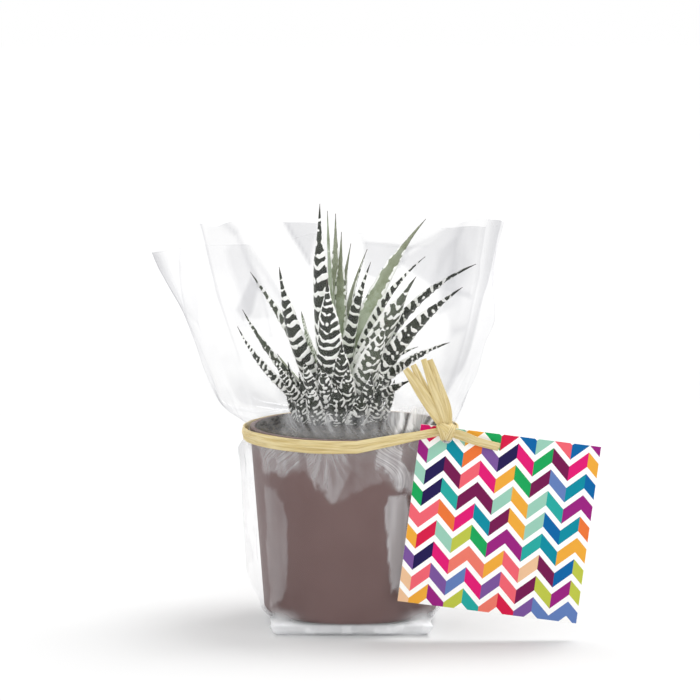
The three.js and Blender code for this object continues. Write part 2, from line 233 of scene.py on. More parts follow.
@dataclass
class Patch:
    """Points and faces of a surface, with named values at its points."""

    points: np.ndarray
    quads: np.ndarray
    triangles: np.ndarray
    values: dict[str, np.ndarray] = field(default_factory=dict)

    @classmethod
    def from_grid(
        cls,
        grid: np.ndarray,
        values: dict[str, np.ndarray] | None = None,
        around: bool = True,
        capped: bool = True,
    ) -> "Patch":
        """Join a grid of points by quads, anticlockwise as seen from outside.

        Args:
            grid: Points by row and column, shape (rows, columns, 3).
            values: Values by name, each of the shape (rows, columns).
            around: Whether the last column joins the first.
            capped: Whether a fan about its middle closes the first and the last row.

        Returns:
            The surface.
        """
        rows, columns = grid.shape[:2]
        index = np.arange(rows * columns).reshape(rows, columns)
        after = np.roll(index, -1, axis=1) if around else index[:, 1:]
        here = index if around else index[:, :-1]
        quads = np.stack([here[:-1], after[:-1], after[1:], here[1:]], axis=-1).reshape(-1, 4)
        points = grid.reshape(-1, 3)
        named = {name: np.broadcast_to(value, (rows, columns)) for name, value in (values or {}).items()}
        flat = {name: value.reshape(-1) for name, value in named.items()}
        triangles = np.zeros((0, 3), int)
        if capped:
            hubs = np.array([len(points), len(points) + 1])
            points = np.vstack([points, grid[0].mean(axis=0), grid[-1].mean(axis=0)])
            ends = {name: [value[0].mean(), value[-1].mean()] for name, value in named.items()}
            flat = {name: np.concatenate([flat[name], ends[name]]) for name in flat}
            low = np.stack([np.full(columns, hubs[0]), after[0], here[0]], axis=-1)
            high = np.stack([np.full(columns, hubs[1]), here[-1], after[-1]], axis=-1)
            triangles = np.vstack([low, high])
        return cls(points, quads, triangles, flat)

    @classmethod
    def joined(cls, patches: list["Patch"]) -> "Patch":
        """Put several surfaces that have the same named values into one."""
        starts = np.cumsum([0] + [len(patch.points) for patch in patches[:-1]])
        return cls(
            np.vstack([patch.points for patch in patches]),
            np.vstack([patch.quads + start for patch, start in zip(patches, starts)]),
            np.vstack([patch.triangles + start for patch, start in zip(patches, starts)]),
            {
                name: np.concatenate([patch.values[name] for patch in patches])
                for name in patches[0].values
            },
        )

    def to_object(
        self, name: str, material: bpy.types.Material, crease: float | None = None
    ) -> bpy.types.Object:
        """Make a Blender object of the surface, at the origin.

        Args:
            name: Name of the object and of its mesh.
            material: Its one material.
            crease: Angle in degrees past which an edge between faces looks sharp, or None.

        Returns:
            The object, linked to the scene.
        """
        corners = np.concatenate([self.quads.reshape(-1), self.triangles.reshape(-1)])
        sizes = np.concatenate([np.full(len(self.quads), 4), np.full(len(self.triangles), 3)])
        mesh = bpy.data.meshes.new(name)
        mesh.vertices.add(len(self.points))
        mesh.vertices.foreach_set("co", self.points.astype(np.float32).reshape(-1))
        mesh.loops.add(len(corners))
        mesh.loops.foreach_set("vertex_index", corners.astype(np.int32))
        mesh.polygons.add(len(sizes))
        mesh.polygons.foreach_set("loop_start", (np.cumsum(sizes) - sizes).astype(np.int32))
        for label, values in self.values.items():
            layer = mesh.attributes.new(label, "FLOAT", "POINT")
            layer.data.foreach_set("value", values.astype(np.float32))
        mesh.update(calc_edges=True)
        mesh.validate()
        mesh.shade_smooth()
        if crease is not None:
            mesh.set_sharp_from_angle(angle=radians(crease))
        mesh.materials.append(material)
        piece = bpy.data.objects.new(name, mesh)
        bpy.context.scene.collection.objects.link(piece)
        return piece


def spun(profile: np.ndarray, sides: int, values: dict[str, np.ndarray] | None = None) -> Patch:
    """Carry a profile of radius and height round the Z axis, upwards on its outer side.

    Args:
        profile: Radius and height of each row, shape (rows, 2).
        sides: Number of columns.
        values: Values by name, one for each row.

    Returns:
        The closed surface.
    """
    angle = np.arange(sides) / sides * TURN
    radius, height = profile[:, :1], profile[:, 1:]
    grid = np.stack(
        [radius * np.cos(angle), radius * np.sin(angle), np.repeat(height, sides, axis=1)], axis=-1
    )
    spread = {name: value[:, None] for name, value in (values or {}).items()}
    return Patch.from_grid(grid, spread)


# -------------------- materials


class Wiring:
    """Adds nodes to one node tree and joins them."""

    def __init__(self, tree: bpy.types.NodeTree) -> None:
        """Work on this tree."""
        self.tree = tree

    def add(
        self, kind: str, inputs: dict[str | int, Feed] | None = None, **settings: object
    ) -> bpy.types.Node:
        """Add a node.

        Args:
            kind: Type of the node.
            inputs: What feeds its inputs, by their name or number.
            **settings: Properties of the node itself.

        Returns:
            The new node.
        """
        node = self.tree.nodes.new(kind)
        for name, value in settings.items():
            setattr(node, name, value)
        for key, value in (inputs or {}).items():
            self.feed(node.inputs[key], value)
        return node

    def feed(self, socket: Socket, value: Feed) -> None:
        """Link another socket to an input, or set its own value."""
        if isinstance(value, bpy.types.NodeSocket):
            self.tree.links.new(value, socket)
        else:
            socket.default_value = value

    def maths(self, operation: str, *terms: Feed) -> Socket:
        """The result of a Math node with these terms."""
        return self.add("ShaderNodeMath", dict(enumerate(terms)), operation=operation).outputs[0]

    def span(self, value: Feed, low: Feed, high: Feed, start: Feed = 0.0, end: Feed = 1.0) -> Socket:
        """A value that eases from start to end as another one goes from low to high."""
        inputs = {"Value": value, "From Min": low, "From Max": high, "To Min": start, "To Max": end}
        return self.add("ShaderNodeMapRange", inputs, interpolation_type="SMOOTHSTEP").outputs["Result"]

    def blend(self, share: Feed, first: Feed, second: Feed) -> Socket:
        """Two colours mixed, with this share of the second.

        The Mix node keeps sockets for every type of data, and 6, 7 and 2 are those for colours.

        Args:
            share: Share of the second colour.
            first: The colour at a share of 0.
            second: The colour at a share of 1.

        Returns:
            The mixed colour.
        """
        node = self.add("ShaderNodeMix", data_type="RGBA")
        for key, value in {0: share, 6: first, 7: second}.items():
            self.feed(node.inputs[key], value)
        return node.outputs[2]

    def attribute(self, name: str) -> Socket:
        """A value that the mesh carries at its points."""
        return self.add("ShaderNodeAttribute", attribute_name=name).outputs["Fac"]

    def place(self) -> Socket:
        """The place on the object, in metres."""
        return self.add("ShaderNodeTexCoord").outputs["Object"]

    def vector(self, x: Feed, y: Feed, z: Feed) -> Socket:
        """Three values as one vector."""
        return self.add("ShaderNodeCombineXYZ", {0: x, 1: y, 2: z}).outputs[0]

    def noise(self, place: Feed, scale: Feed, detail: float = 2.0, roughness: float = 0.5) -> Socket:
        """Cloudy noise between 0 and 1, with this many swells to the metre."""
        inputs = {"Vector": place, "Scale": scale, "Detail": detail, "Roughness": roughness}
        return self.add("ShaderNodeTexNoise", inputs).outputs["Fac"]

    def bump(self, height: Feed, distance: float) -> Socket:
        """A normal that follows a height, in metres for a height of 1."""
        inputs = {"Height": height, "Distance": distance, "Strength": 1.0}
        return self.add("ShaderNodeBump", inputs).outputs["Normal"]


class Effect:
    """A node group that several finishes share, built once and placed with its own values."""

    def __init__(self, name: str, inputs: dict[str, Feed], outputs: dict[str, str]) -> None:
        """Open the group's sockets.

        Args:
            name: Name of the group.
            inputs: Starting value of each input, a number, a vector or a colour.
            outputs: Kind of each output, Float, Vector or Color.
        """
        self.tree = bpy.data.node_groups.new(name, "ShaderNodeTree")
        kinds = {3: "NodeSocketVector", 4: "NodeSocketColor"}
        for label, start in inputs.items():
            kind = kinds[len(start)] if isinstance(start, tuple) else "NodeSocketFloat"
            socket = self.tree.interface.new_socket(label, in_out="INPUT", socket_type=kind)
            socket.default_value = start
        for label, kind in outputs.items():
            self.tree.interface.new_socket(label, in_out="OUTPUT", socket_type="NodeSocket" + kind)
        self.wiring = Wiring(self.tree)
        self.inputs = self.wiring.add("NodeGroupInput").outputs
        self.results = self.wiring.add("NodeGroupOutput").inputs

    def close(self, **results: Feed) -> "Effect":
        """Feed the group's outputs, named as given."""
        for label, value in results.items():
            self.wiring.feed(self.results[label], value)
        return self

    def put(self, wiring: Wiring, **inputs: Feed) -> bpy.types.bpy_prop_collection:
        """Place the group in a material and return its outputs.

        Args:
            wiring: The material's wiring.
            **inputs: What feeds its inputs, by their names.

        Returns:
            The group node's outputs.
        """
        node = wiring.add("ShaderNodeGroup", node_tree=self.tree)
        for label, value in inputs.items():
            wiring.feed(node.inputs[label], value)
        return node.outputs


class Effects:
    """The effects that the finishes share."""

    def __init__(self) -> None:
        """Build every group."""
        self.grain = self._grain()
        self.mottle = self._mottle()
        self.streaks = self._streaks()

    @staticmethod
    def _grain() -> Effect:
        """Fine grain: cloudy noise and the small pits of a cell pattern, of one size.

        Returns:
            The group, which gives a height.
        """
        effect = Effect("Fine grain", {"Place": (0.0, 0.0, 0.0), "Size": 0.001}, {"Height": "Float"})
        wiring, inputs = effect.wiring, effect.inputs
        scale = wiring.maths("DIVIDE", 1.0, inputs["Size"])
        cloud = wiring.noise(inputs["Place"], scale, detail=3.0)
        cells = wiring.add("ShaderNodeTexVoronoi", {"Vector": inputs["Place"], "Scale": scale})
        pits = wiring.span(cells.outputs["Distance"], 0.1, 0.6)
        return effect.close(Height=wiring.maths("MULTIPLY_ADD", pits, 0.45, cloud))

    @staticmethod
    def _mottle() -> Effect:
        """Slow patches that lean from one colour towards another.

        Returns:
            The group, which gives a colour and the share of the patches.
        """
        effect = Effect(
            "Mottle",
            {
                "Place": (0.0, 0.0, 0.0),
                "Size": 0.01,
                "Colour": (0.5, 0.5, 0.5, 1.0),
                "Patches": (0.6, 0.6, 0.6, 1.0),
            },
            {"Colour": "Color", "Mask": "Float"},
        )
        wiring, inputs = effect.wiring, effect.inputs
        scale = wiring.maths("DIVIDE", 1.0, inputs["Size"])
        mask = wiring.span(wiring.noise(inputs["Place"], scale, detail=4.0, roughness=0.6), 0.32, 0.68)
        colour = wiring.blend(mask, inputs["Colour"], inputs["Patches"])
        return effect.close(Colour=colour, Mask=mask)

    @staticmethod
    def _streaks() -> Effect:
        """Long thin streaks: noise that is squeezed across and drawn out along a surface.

        Returns:
            The group, which gives a mask and the height behind it.
        """
        effect = Effect(
            "Streaks",
            {"Across": 0.0, "Along": 0.0, "Depth": 0.0, "Low": 0.35, "High": 0.65},
            {"Mask": "Float", "Height": "Float"},
        )
        wiring, inputs = effect.wiring, effect.inputs
        place = wiring.vector(inputs["Across"], inputs["Along"], inputs["Depth"])
        height = wiring.noise(place, 1.0, detail=3.0, roughness=0.6)
        return effect.close(Mask=wiring.span(height, inputs["Low"], inputs["High"]), Height=height)


@dataclass(frozen=True)
class Finish:
    """A material that a piece is dressed in."""

    effects: Effects

    @staticmethod
    def begin(name: str) -> tuple[bpy.types.Material, Wiring, bpy.types.Node, bpy.types.Node]:
        """Open a new material.

        Args:
            name: Name of the material.

        Returns:
            The material, its wiring, its Principled shader and its output.
        """
        material = bpy.data.materials.new(name)
        material.use_nodes = True
        material.node_tree.nodes.clear()
        wiring = Wiring(material.node_tree)
        output = wiring.add("ShaderNodeOutputMaterial")
        shader = wiring.add("ShaderNodeBsdfPrincipled")
        wiring.feed(output.inputs["Surface"], shader.outputs["BSDF"])
        return material, wiring, shader, output


@dataclass(frozen=True)
class PotPlastic(Finish):
    """Smooth satin plastic with a faint moulded grain."""

    colour: Colour = paint(109, 85, 83)
    patches: Colour = paint(104, 80, 78)
    roughness: float = 0.4

    def material(self) -> bpy.types.Material:
        """The plastic, with slow changes of tone and gloss and a fine grain.

        Returns:
            The material.
        """
        material, wiring, shader, _ = self.begin("Taupe satin plastic")
        place = wiring.place()
        tone = self.effects.mottle.put(
            wiring, Place=place, Size=14 * MM, Colour=self.colour, Patches=self.patches
        )
        grain = self.effects.grain.put(wiring, Place=place, Size=0.6 * MM)["Height"]
        gloss = wiring.span(tone["Mask"], 0.0, 1.0, self.roughness, self.roughness + 0.06)
        wiring.feed(shader.inputs["Base Color"], tone["Colour"])
        wiring.feed(shader.inputs["Roughness"], gloss)
        shader.inputs["Specular IOR Level"].default_value = 0.2
        wiring.feed(shader.inputs["Normal"], wiring.bump(grain, 0.0012 * MM))
        return material


@dataclass(frozen=True)
class PottingSoil(Finish):
    """Dark crumbly peat with paler fibres and grit."""

    colour: Colour = paint(38, 35, 33)
    patches: Colour = paint(74, 68, 62)
    fibre: Colour = paint(128, 116, 98)

    def material(self) -> bpy.types.Material:
        """The peat: patches of tone, pale specks and a rough grain.

        Returns:
            The material.
        """
        material, wiring, shader, _ = self.begin("Peat soil")
        place = wiring.place()
        tone = self.effects.mottle.put(
            wiring, Place=place, Size=1.6 * MM, Colour=self.colour, Patches=self.patches
        )
        specks = wiring.span(wiring.noise(place, 1 / (0.7 * MM), detail=1.0), 0.66, 0.74)
        grain = self.effects.grain.put(wiring, Place=place, Size=0.8 * MM)["Height"]
        wiring.feed(shader.inputs["Base Color"], wiring.blend(specks, tone["Colour"], self.fibre))
        wiring.feed(shader.inputs["Roughness"], wiring.span(tone["Mask"], 0.0, 1.0, 0.82, 0.98))
        wiring.feed(shader.inputs["Normal"], wiring.bump(grain, 0.35 * MM))
        return material


@dataclass(frozen=True)
class LeafSkin(Finish):
    """Firm succulent skin: dark outside with raised white bands, plain green inside."""

    dark: Colour = paint(34, 38, 33)
    olive: Colour = paint(56, 62, 50)
    inside: Colour = paint(150, 163, 131)
    inside_pale: Colour = paint(200, 212, 188)
    tubercle: Colour = paint(255, 255, 253)
    shaded_tubercle: Colour = paint(242, 243, 238)
    tip: Colour = paint(62, 50, 40)
    root_grey: Colour = paint(150, 150, 142)
    sunned: Colour = paint(92, 90, 66)

    def material(self) -> bpy.types.Material:
        """The skin, from the leaf's own values for bands, inner face, tip and tone.

        Returns:
            The material.
        """
        material, wiring, shader, _ = self.begin("Haworthia leaf")
        place = wiring.place()
        inner, share = wiring.attribute("inner"), wiring.attribute("share")
        outside = self.effects.mottle.put(
            wiring, Place=place, Size=2.4 * MM, Colour=self.dark, Patches=self.olive
        )["Colour"]
        inside = self.effects.mottle.put(
            wiring, Place=place, Size=5.0 * MM, Colour=self.inside, Patches=self.inside_pale
        )["Colour"]
        outside = wiring.blend(wiring.attribute("pale"), outside, inside)
        inside = wiring.blend(wiring.span(share, 0.3, 0.95, 0.0, 0.65), inside, self.sunned)
        skin = wiring.blend(wiring.span(inner, 0.35, 0.65), outside, inside)
        skin = wiring.blend(wiring.span(share, 0.94, 1.0), skin, self.tip)
        edge = wiring.noise(place, 1 / (0.45 * MM), detail=2.0)
        band = wiring.maths("MULTIPLY_ADD", edge, 0.22, wiring.attribute("band"))
        white = wiring.span(band, 0.57, 0.66)
        chalk = self.effects.mottle.put(
            wiring, Place=place, Size=1.1 * MM, Colour=self.tubercle, Patches=self.shaded_tubercle
        )["Colour"]
        # The white bands turn greyer towards the root.
        chalk = wiring.blend(wiring.span(share, 0.0, 0.32, 0.6, 0.0), chalk, self.root_grey)
        grain = self.effects.grain.put(wiring, Place=place, Size=0.5 * MM)["Height"]
        wiring.feed(shader.inputs["Base Color"], wiring.blend(white, skin, chalk))
        wiring.feed(shader.inputs["Roughness"], wiring.span(white, 0.0, 1.0, 0.42, 0.62))
        shader.inputs["Specular IOR Level"].default_value = 0.3
        wiring.feed(shader.inputs["Normal"], wiring.bump(grain, 0.05 * MM))
        return material


@dataclass(frozen=True)
class ClearFilm(Finish):
    """Thin glossy film: nearly clear, greyer edge on, with painted shade on creases and gathers and painted
    highlights.
    """

    clear: Colour = (1.0, 1.0, 1.0, 1.0)
    grazed: Colour = paint(251, 251, 252)
    shadow: Colour = paint(138, 138, 148)
    milk_and_sheen_white: Colour = paint(246, 247, 249)
    roughness: float = 0.09
    gloss: float = 1.33
    most_gloss: float = 0.07

    def material(self) -> bpy.types.Material:
        """The film, from the sheet's own values for gathers, creases, painted shade and milky patches that
        carry painted highlights.

        Returns:
            The material.
        """
        material, wiring, shader, output = self.begin("Clear film")
        place = wiring.place()
        drawn, milk = wiring.attribute("drawn"), wiring.attribute("milk")
        streaks = self.effects.streaks.put(
            wiring,
            Across=wiring.maths("MULTIPLY", wiring.attribute("across"), 1 / (0.7 * MM)),
            Along=wiring.maths("MULTIPLY", wiring.attribute("along"), 1 / (11 * MM)),
            Depth=0.0,
            Low=0.3,
            High=0.72,
        )
        wrinkle = wiring.noise(place, 1 / (7.0 * MM), detail=2.0)
        relief = wiring.maths("MULTIPLY", wiring.maths("MULTIPLY", streaks["Height"], drawn), 0.15)
        normal = wiring.bump(wiring.maths("ADD", relief, wrinkle), 0.4 * MM)
        highlight_streaks = wiring.span(streaks["Mask"], 0.0, 1.0, 0.7, 1.25)
        patchy = wiring.maths("MULTIPLY_ADD", wiring.maths("SUBTRACT", highlight_streaks, 1.0), drawn, 1.0)
        cover = wiring.maths("MULTIPLY", milk, patchy)
        cover = wiring.maths("MINIMUM", wiring.maths("ADD", cover, 0.004), 0.9)
        edge_on = wiring.add("ShaderNodeLayerWeight", {"Blend": 0.2}).outputs["Facing"]
        mirror = wiring.add("ShaderNodeFresnel", {"IOR": self.gloss, "Normal": normal}).outputs["Fac"]
        mirror = wiring.maths("MINIMUM", mirror, self.most_gloss)
        tint = wiring.blend(edge_on, self.clear, self.grazed)
        # Painted shade: the sheet's shade value greys the clear part towards the shadow colour.
        tint = wiring.blend(wiring.attribute("shade"), tint, self.shadow)
        clear = wiring.add("ShaderNodeBsdfTransparent", {"Color": tint})
        gloss = wiring.add("ShaderNodeBsdfGlossy", {"Roughness": self.roughness, "Normal": normal})
        pane = wiring.add("ShaderNodeMixShader", {0: mirror, 1: clear.outputs[0], 2: gloss.outputs[0]})
        # Painted highlights: where the sheet is milky, a lit milky white is mixed in for glints and pale
        # bands.
        wiring.feed(shader.inputs["Base Color"], self.milk_and_sheen_white)
        wiring.feed(shader.inputs["Normal"], normal)
        shader.inputs["Roughness"].default_value = 0.35
        whole = wiring.add("ShaderNodeMixShader", {0: cover, 1: pane.outputs[0], 2: shader.outputs[0]})
        wiring.feed(output.inputs["Surface"], whole.outputs[0])
        return material


@dataclass(frozen=True)
class DryRaffia(Finish):
    """Dry palm fibre, straw yellow with paler and browner streaks along it."""

    colour: Colour = paint(209, 187, 128)
    pale: Colour = paint(227, 210, 160)
    brown: Colour = paint(170, 140, 80)

    def material(self) -> bpy.types.Material:
        """The fibre: streaks of three tones and a ribbed surface along the strand.

        Returns:
            The material.
        """
        material, wiring, shader, _ = self.begin("Dry raffia")
        across, along = wiring.attribute("across"), wiring.attribute("along")
        strand = wiring.attribute("strand")
        wide = self.effects.streaks.put(
            wiring,
            Across=wiring.maths("MULTIPLY", across, 1 / (0.8 * MM)),
            Along=wiring.maths("MULTIPLY", along, 1 / (14 * MM)),
            Depth=strand,
        )
        fine = self.effects.streaks.put(
            wiring,
            Across=wiring.maths("MULTIPLY", across, 1 / (0.22 * MM)),
            Along=wiring.maths("MULTIPLY", along, 1 / (9 * MM)),
            Depth=strand,
            Low=0.5,
            High=0.72,
        )
        tone = wiring.blend(wide["Mask"], self.colour, self.pale)
        tone = wiring.blend(wiring.maths("MULTIPLY", fine["Mask"], 0.7), tone, self.brown)
        relief = wiring.maths("ADD", fine["Height"], wide["Height"])
        wiring.feed(shader.inputs["Base Color"], tone)
        wiring.feed(shader.inputs["Roughness"], wiring.span(wide["Mask"], 0.0, 1.0, 0.7, 0.52))
        wiring.feed(shader.inputs["Normal"], wiring.bump(relief, 0.22 * MM))
        return material


@dataclass(frozen=True)
class PrintedCard(Finish):
    """Coated white card whose face is printed with rows of coloured chevrons."""

    corner: Point
    tilt: float
    face_depth: float
    column: float = 4.87 * MM
    row: float = 6.0 * MM
    rise: float = 4.6 * MM
    inked: float = 0.68
    first_column: float = 0.4
    card: Colour = paint(250, 249, 247)
    inks: tuple[Colour, ...] = (
        paint(113, 20, 76), paint(219, 22, 112), paint(0, 136, 156),
        paint(232, 189, 149), paint(32, 22, 78), paint(185, 193, 71),
        paint(149, 30, 123), paint(233, 166, 58), paint(37, 164, 156),
        paint(234, 97, 110), paint(0, 97, 160), paint(149, 199, 179),
        paint(230, 115, 54), paint(210, 24, 69), paint(22, 160, 86),
        paint(119, 82, 151), paint(232, 119, 102), paint(95, 123, 180),
    )

    def material(self) -> bpy.types.Material:
        """The card: the zigzag rows lie in the card's own plane, and its back and edges stay bare.

        Returns:
            The material.
        """
        material, wiring, shader, _ = self.begin("Printed card")
        place = wiring.place()
        on_card = wiring.add(
            "ShaderNodeMapping",
            {"Vector": place, "Location": self.corner, "Rotation": (0.0, self.tilt, 0.0)},
            vector_type="TEXTURE",
        ).outputs[0]
        parts = wiring.add("ShaderNodeSeparateXYZ", {0: on_card}).outputs
        across = wiring.maths("ADD", wiring.maths("DIVIDE", parts["X"], self.column), self.first_column)
        fold = wiring.maths("PINGPONG", across, 1.0)
        down = wiring.maths("MULTIPLY_ADD", fold, self.rise, parts["Z"])
        rows = wiring.maths("DIVIDE", down, self.row)
        column_number, row_number = wiring.maths("FLOOR", across), wiring.maths("FLOOR", rows)
        pick = wiring.add(
            "ShaderNodeTexWhiteNoise",
            {"Vector": wiring.vector(column_number, row_number, 7.0)},
            noise_dimensions="3D",
        ).outputs["Value"]
        ramp = wiring.add("ShaderNodeValToRGB", {0: pick})
        ramp.color_ramp.interpolation = "CONSTANT"
        ramp.color_ramp.elements.remove(ramp.color_ramp.elements[1])
        ramp.color_ramp.elements[0].color = self.inks[0]
        for number, ink in enumerate(self.inks[1:], start=1):
            ramp.color_ramp.elements.new(number / len(self.inks)).color = ink
        inked = wiring.maths("LESS_THAN", wiring.maths("FRACT", rows), self.inked)
        face = wiring.maths("LESS_THAN", parts["Y"], self.face_depth)
        print_mask = wiring.maths("MULTIPLY", inked, face)
        grain = self.effects.grain.put(wiring, Place=place, Size=0.5 * MM)["Height"]
        wiring.feed(shader.inputs["Base Color"], wiring.blend(print_mask, self.card, ramp.outputs[0]))
        wiring.feed(shader.inputs["Roughness"], wiring.span(print_mask, 0.0, 1.0, 0.6, 0.5))
        shader.inputs["Specular IOR Level"].default_value = 0.12
        wiring.feed(shader.inputs["Normal"], wiring.bump(grain, 0.01 * MM))
        return material


# -------------------- studio


@dataclass(frozen=True)
class Lamp:
    """A rectangular soft light.

    Its place is that of its middle, its size is width and height, and its share is the light that
    it gives at its aim as a share of a white sky's.
    """

    name: str
    place: Point
    size: tuple[float, float]
    share: float

    def hang(self, aim: Point) -> None:
        """Make the light and turn it to its aim.

        The energy grows with the square of the distance, so that the share stays what it says.

        Args:
            aim: The point that it faces.
        """
        data = bpy.data.lights.new(self.name, "AREA")
        data.shape = "RECTANGLE"
        data.size, data.size_y = self.size
        line = np.array(aim) - np.array(self.place)
        data.energy = float(self.share * pi**2 * (line @ line))
        lamp = bpy.data.objects.new(self.name, data)
        lamp.location = self.place
        lamp.rotation_euler = Vector(line).to_track_quat("-Z", "Y").to_euler()
        bpy.context.scene.collection.objects.link(lamp)


@dataclass
class Studio:
    """The camera, a pale floor, an even sky and soft lamps."""

    aim: Point = (-0.22 * MM, 0.0, 77.48 * MM)
    distance: float = 756.5 * MM
    pitch: float = radians(7.14)
    lens: float = 137.66
    floor_half: float = 14.0
    floor_tone: float = 0.7
    glow_from: float = 0.32
    glow_to: float = 1.0
    glow: float = 0.47
    lit: Point = (0.0, 0.0, 60 * MM)
    lamps: tuple[Lamp, ...] = (
        Lamp("Key light", (0.3, 0.18, 0.7), (0.4, 0.4), 0.68),
        Lamp("Rear light", (-0.34, 0.24, 0.62), (0.6, 0.6), 0.34),
        Lamp("Front light", (-0.1, -0.95, 0.3), (1.6, 0.9), 0.3),
        Lamp("Left light", (-0.62, -0.42, 0.34), (0.16, 0.6), 0.05),
        Lamp("Right light", (0.66, -0.36, 0.34), (0.16, 0.6), 0.1),
    )

    def camera(self) -> None:
        """Set the camera back from its aim along its line of sight, looking along +Y."""
        data = bpy.data.cameras.new("Camera")
        data.lens, data.sensor_width = self.lens, 36.0
        data.clip_start, data.clip_end = 0.05, 60.0
        camera = bpy.data.objects.new("Camera", data)
        sight = np.array([0.0, cos(self.pitch), -sin(self.pitch)])
        camera.location = np.array(self.aim) - self.distance * sight
        camera.rotation_euler = (pi / 2 - self.pitch, 0.0, 0.0)
        bpy.context.scene.collection.objects.link(camera)
        bpy.context.scene.camera = camera

    def sky(self) -> None:
        """Even light from all round, a little stronger from above, over a background of plain white."""
        world = bpy.data.worlds.new("Studio")
        bpy.context.scene.world = world
        world.use_nodes = True
        wiring = Wiring(world.node_tree)
        world.node_tree.nodes.clear()
        way = wiring.add("ShaderNodeTexCoord").outputs["Generated"]
        parts = wiring.add("ShaderNodeSeparateXYZ", {0: way}).outputs
        room = wiring.span(parts["Z"], 0.2, 0.9, 0.7, 0.8)
        seen = wiring.add("ShaderNodeLightPath").outputs["Is Camera Ray"]
        strength = wiring.add("ShaderNodeMix", data_type="FLOAT")
        for key, value in {0: seen, 2: room, 3: 1.0}.items():
            wiring.feed(strength.inputs[key], value)
        light = wiring.add("ShaderNodeBackground", {"Color": (1, 1, 1, 1), "Strength": strength.outputs[0]})
        output = wiring.add("ShaderNodeOutputWorld")
        wiring.feed(output.inputs["Surface"], light.outputs[0])

    def floor(self) -> None:
        """Lay a wide matt pale floor at the table's height, which is lit from within far away."""
        half = self.floor_half
        corners = np.array([[-half, -half, 0], [half, -half, 0], [half, half, 0], [-half, half, 0]])
        material, wiring, shader, _ = Finish.begin("Studio floor")
        shader.inputs["Base Color"].default_value = (self.floor_tone,) * 3 + (1.0,)
        shader.inputs["Roughness"].default_value = 0.9
        shader.inputs["Specular IOR Level"].default_value = 0.1
        away = wiring.add("ShaderNodeVectorMath", {0: wiring.place()}, operation="LENGTH").outputs["Value"]
        glow = wiring.span(away, self.glow_from, self.glow_to, 0.0, self.glow)
        shader.inputs["Emission Color"].default_value = (1.0, 1.0, 1.0, 1.0)
        wiring.feed(shader.inputs["Emission Strength"], glow)
        patch = Patch(corners, np.array([[0, 1, 2, 3]]), np.zeros((0, 3), int))
        patch.to_object("floor", material)

    def build(self) -> None:
        """Make the camera first, then the sky, the floor and the lamps."""
        bpy.context.scene.view_settings.view_transform = "Standard"
        self.camera()
        self.sky()
        self.floor()
        for lamp in self.lamps:
            lamp.hang(self.lit)
        log.info("studio: camera, sky, floor and %d lamps", len(self.lamps))


# -------------------- pot and soil


def settle(piece: bpy.types.Object, node: str) -> None:
    """Let a piece ride on the part and stand for a node of the model, whose own mesh is hidden.

    Args:
        piece: The object.
        node: Name of the node.
    """
    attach(piece, "root")
    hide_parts(node)
    log.info("%s: %d points, %d faces", piece.name, len(piece.data.vertices), len(piece.data.polygons))


@dataclass
class Pot:
    """A tapered cup with a rounded lower edge, a shallow foot ring and a flat rim."""

    finish: PotPlastic
    base: float = 3.5 * MM
    rim: float = 56.2 * MM
    base_radius: float = 24.65 * MM
    rim_radius: float = 28.6 * MM
    wall: float = 1.4 * MM
    floor: float = 2.0 * MM
    foot_depth: float = 0.8 * MM
    foot_width: float = 3.2 * MM
    edge: float = 1.6 * MM
    sides: int = 180

    def radius(self, height: Values) -> Values:
        """Outer radius at a height: a straight taper from the base to the rim."""
        share = np.clip((height - self.base) / (self.rim - self.base), 0.0, 1.0)
        return self.base_radius + (self.rim_radius - self.base_radius) * share

    def profile(self) -> np.ndarray:
        """Radius and height from the middle of the underside, out, up, over the rim and down inside.

        Returns:
            Radius and height of each point, shape (points, 2).
        """
        inside = self.base + self.foot_depth + self.floor
        foot = self.base_radius - self.foot_width - self.edge
        return filleted(
            [
                (0.0, self.base + self.foot_depth, 0.0),
                (foot, self.base + self.foot_depth, 0.3 * MM),
                (foot + 0.6 * MM, self.base, 0.3 * MM),
                (self.base_radius, self.base, self.edge),
                (self.rim_radius, self.rim, 0.5 * MM),
                (self.rim_radius - self.wall, self.rim, 0.4 * MM),
                (self.radius(inside) - self.wall, inside, 1.2 * MM),
                (0.0, inside, 0.0),
            ]
        )

    def build(self) -> None:
        """Spin the profile and dress it."""
        profile = self.profile()
        profile[[0, -1], 0] = SMALL_HUB
        pot = spun(profile, self.sides).to_object("pot_body", self.finish.material(), crease=50)
        settle(pot, "pot")


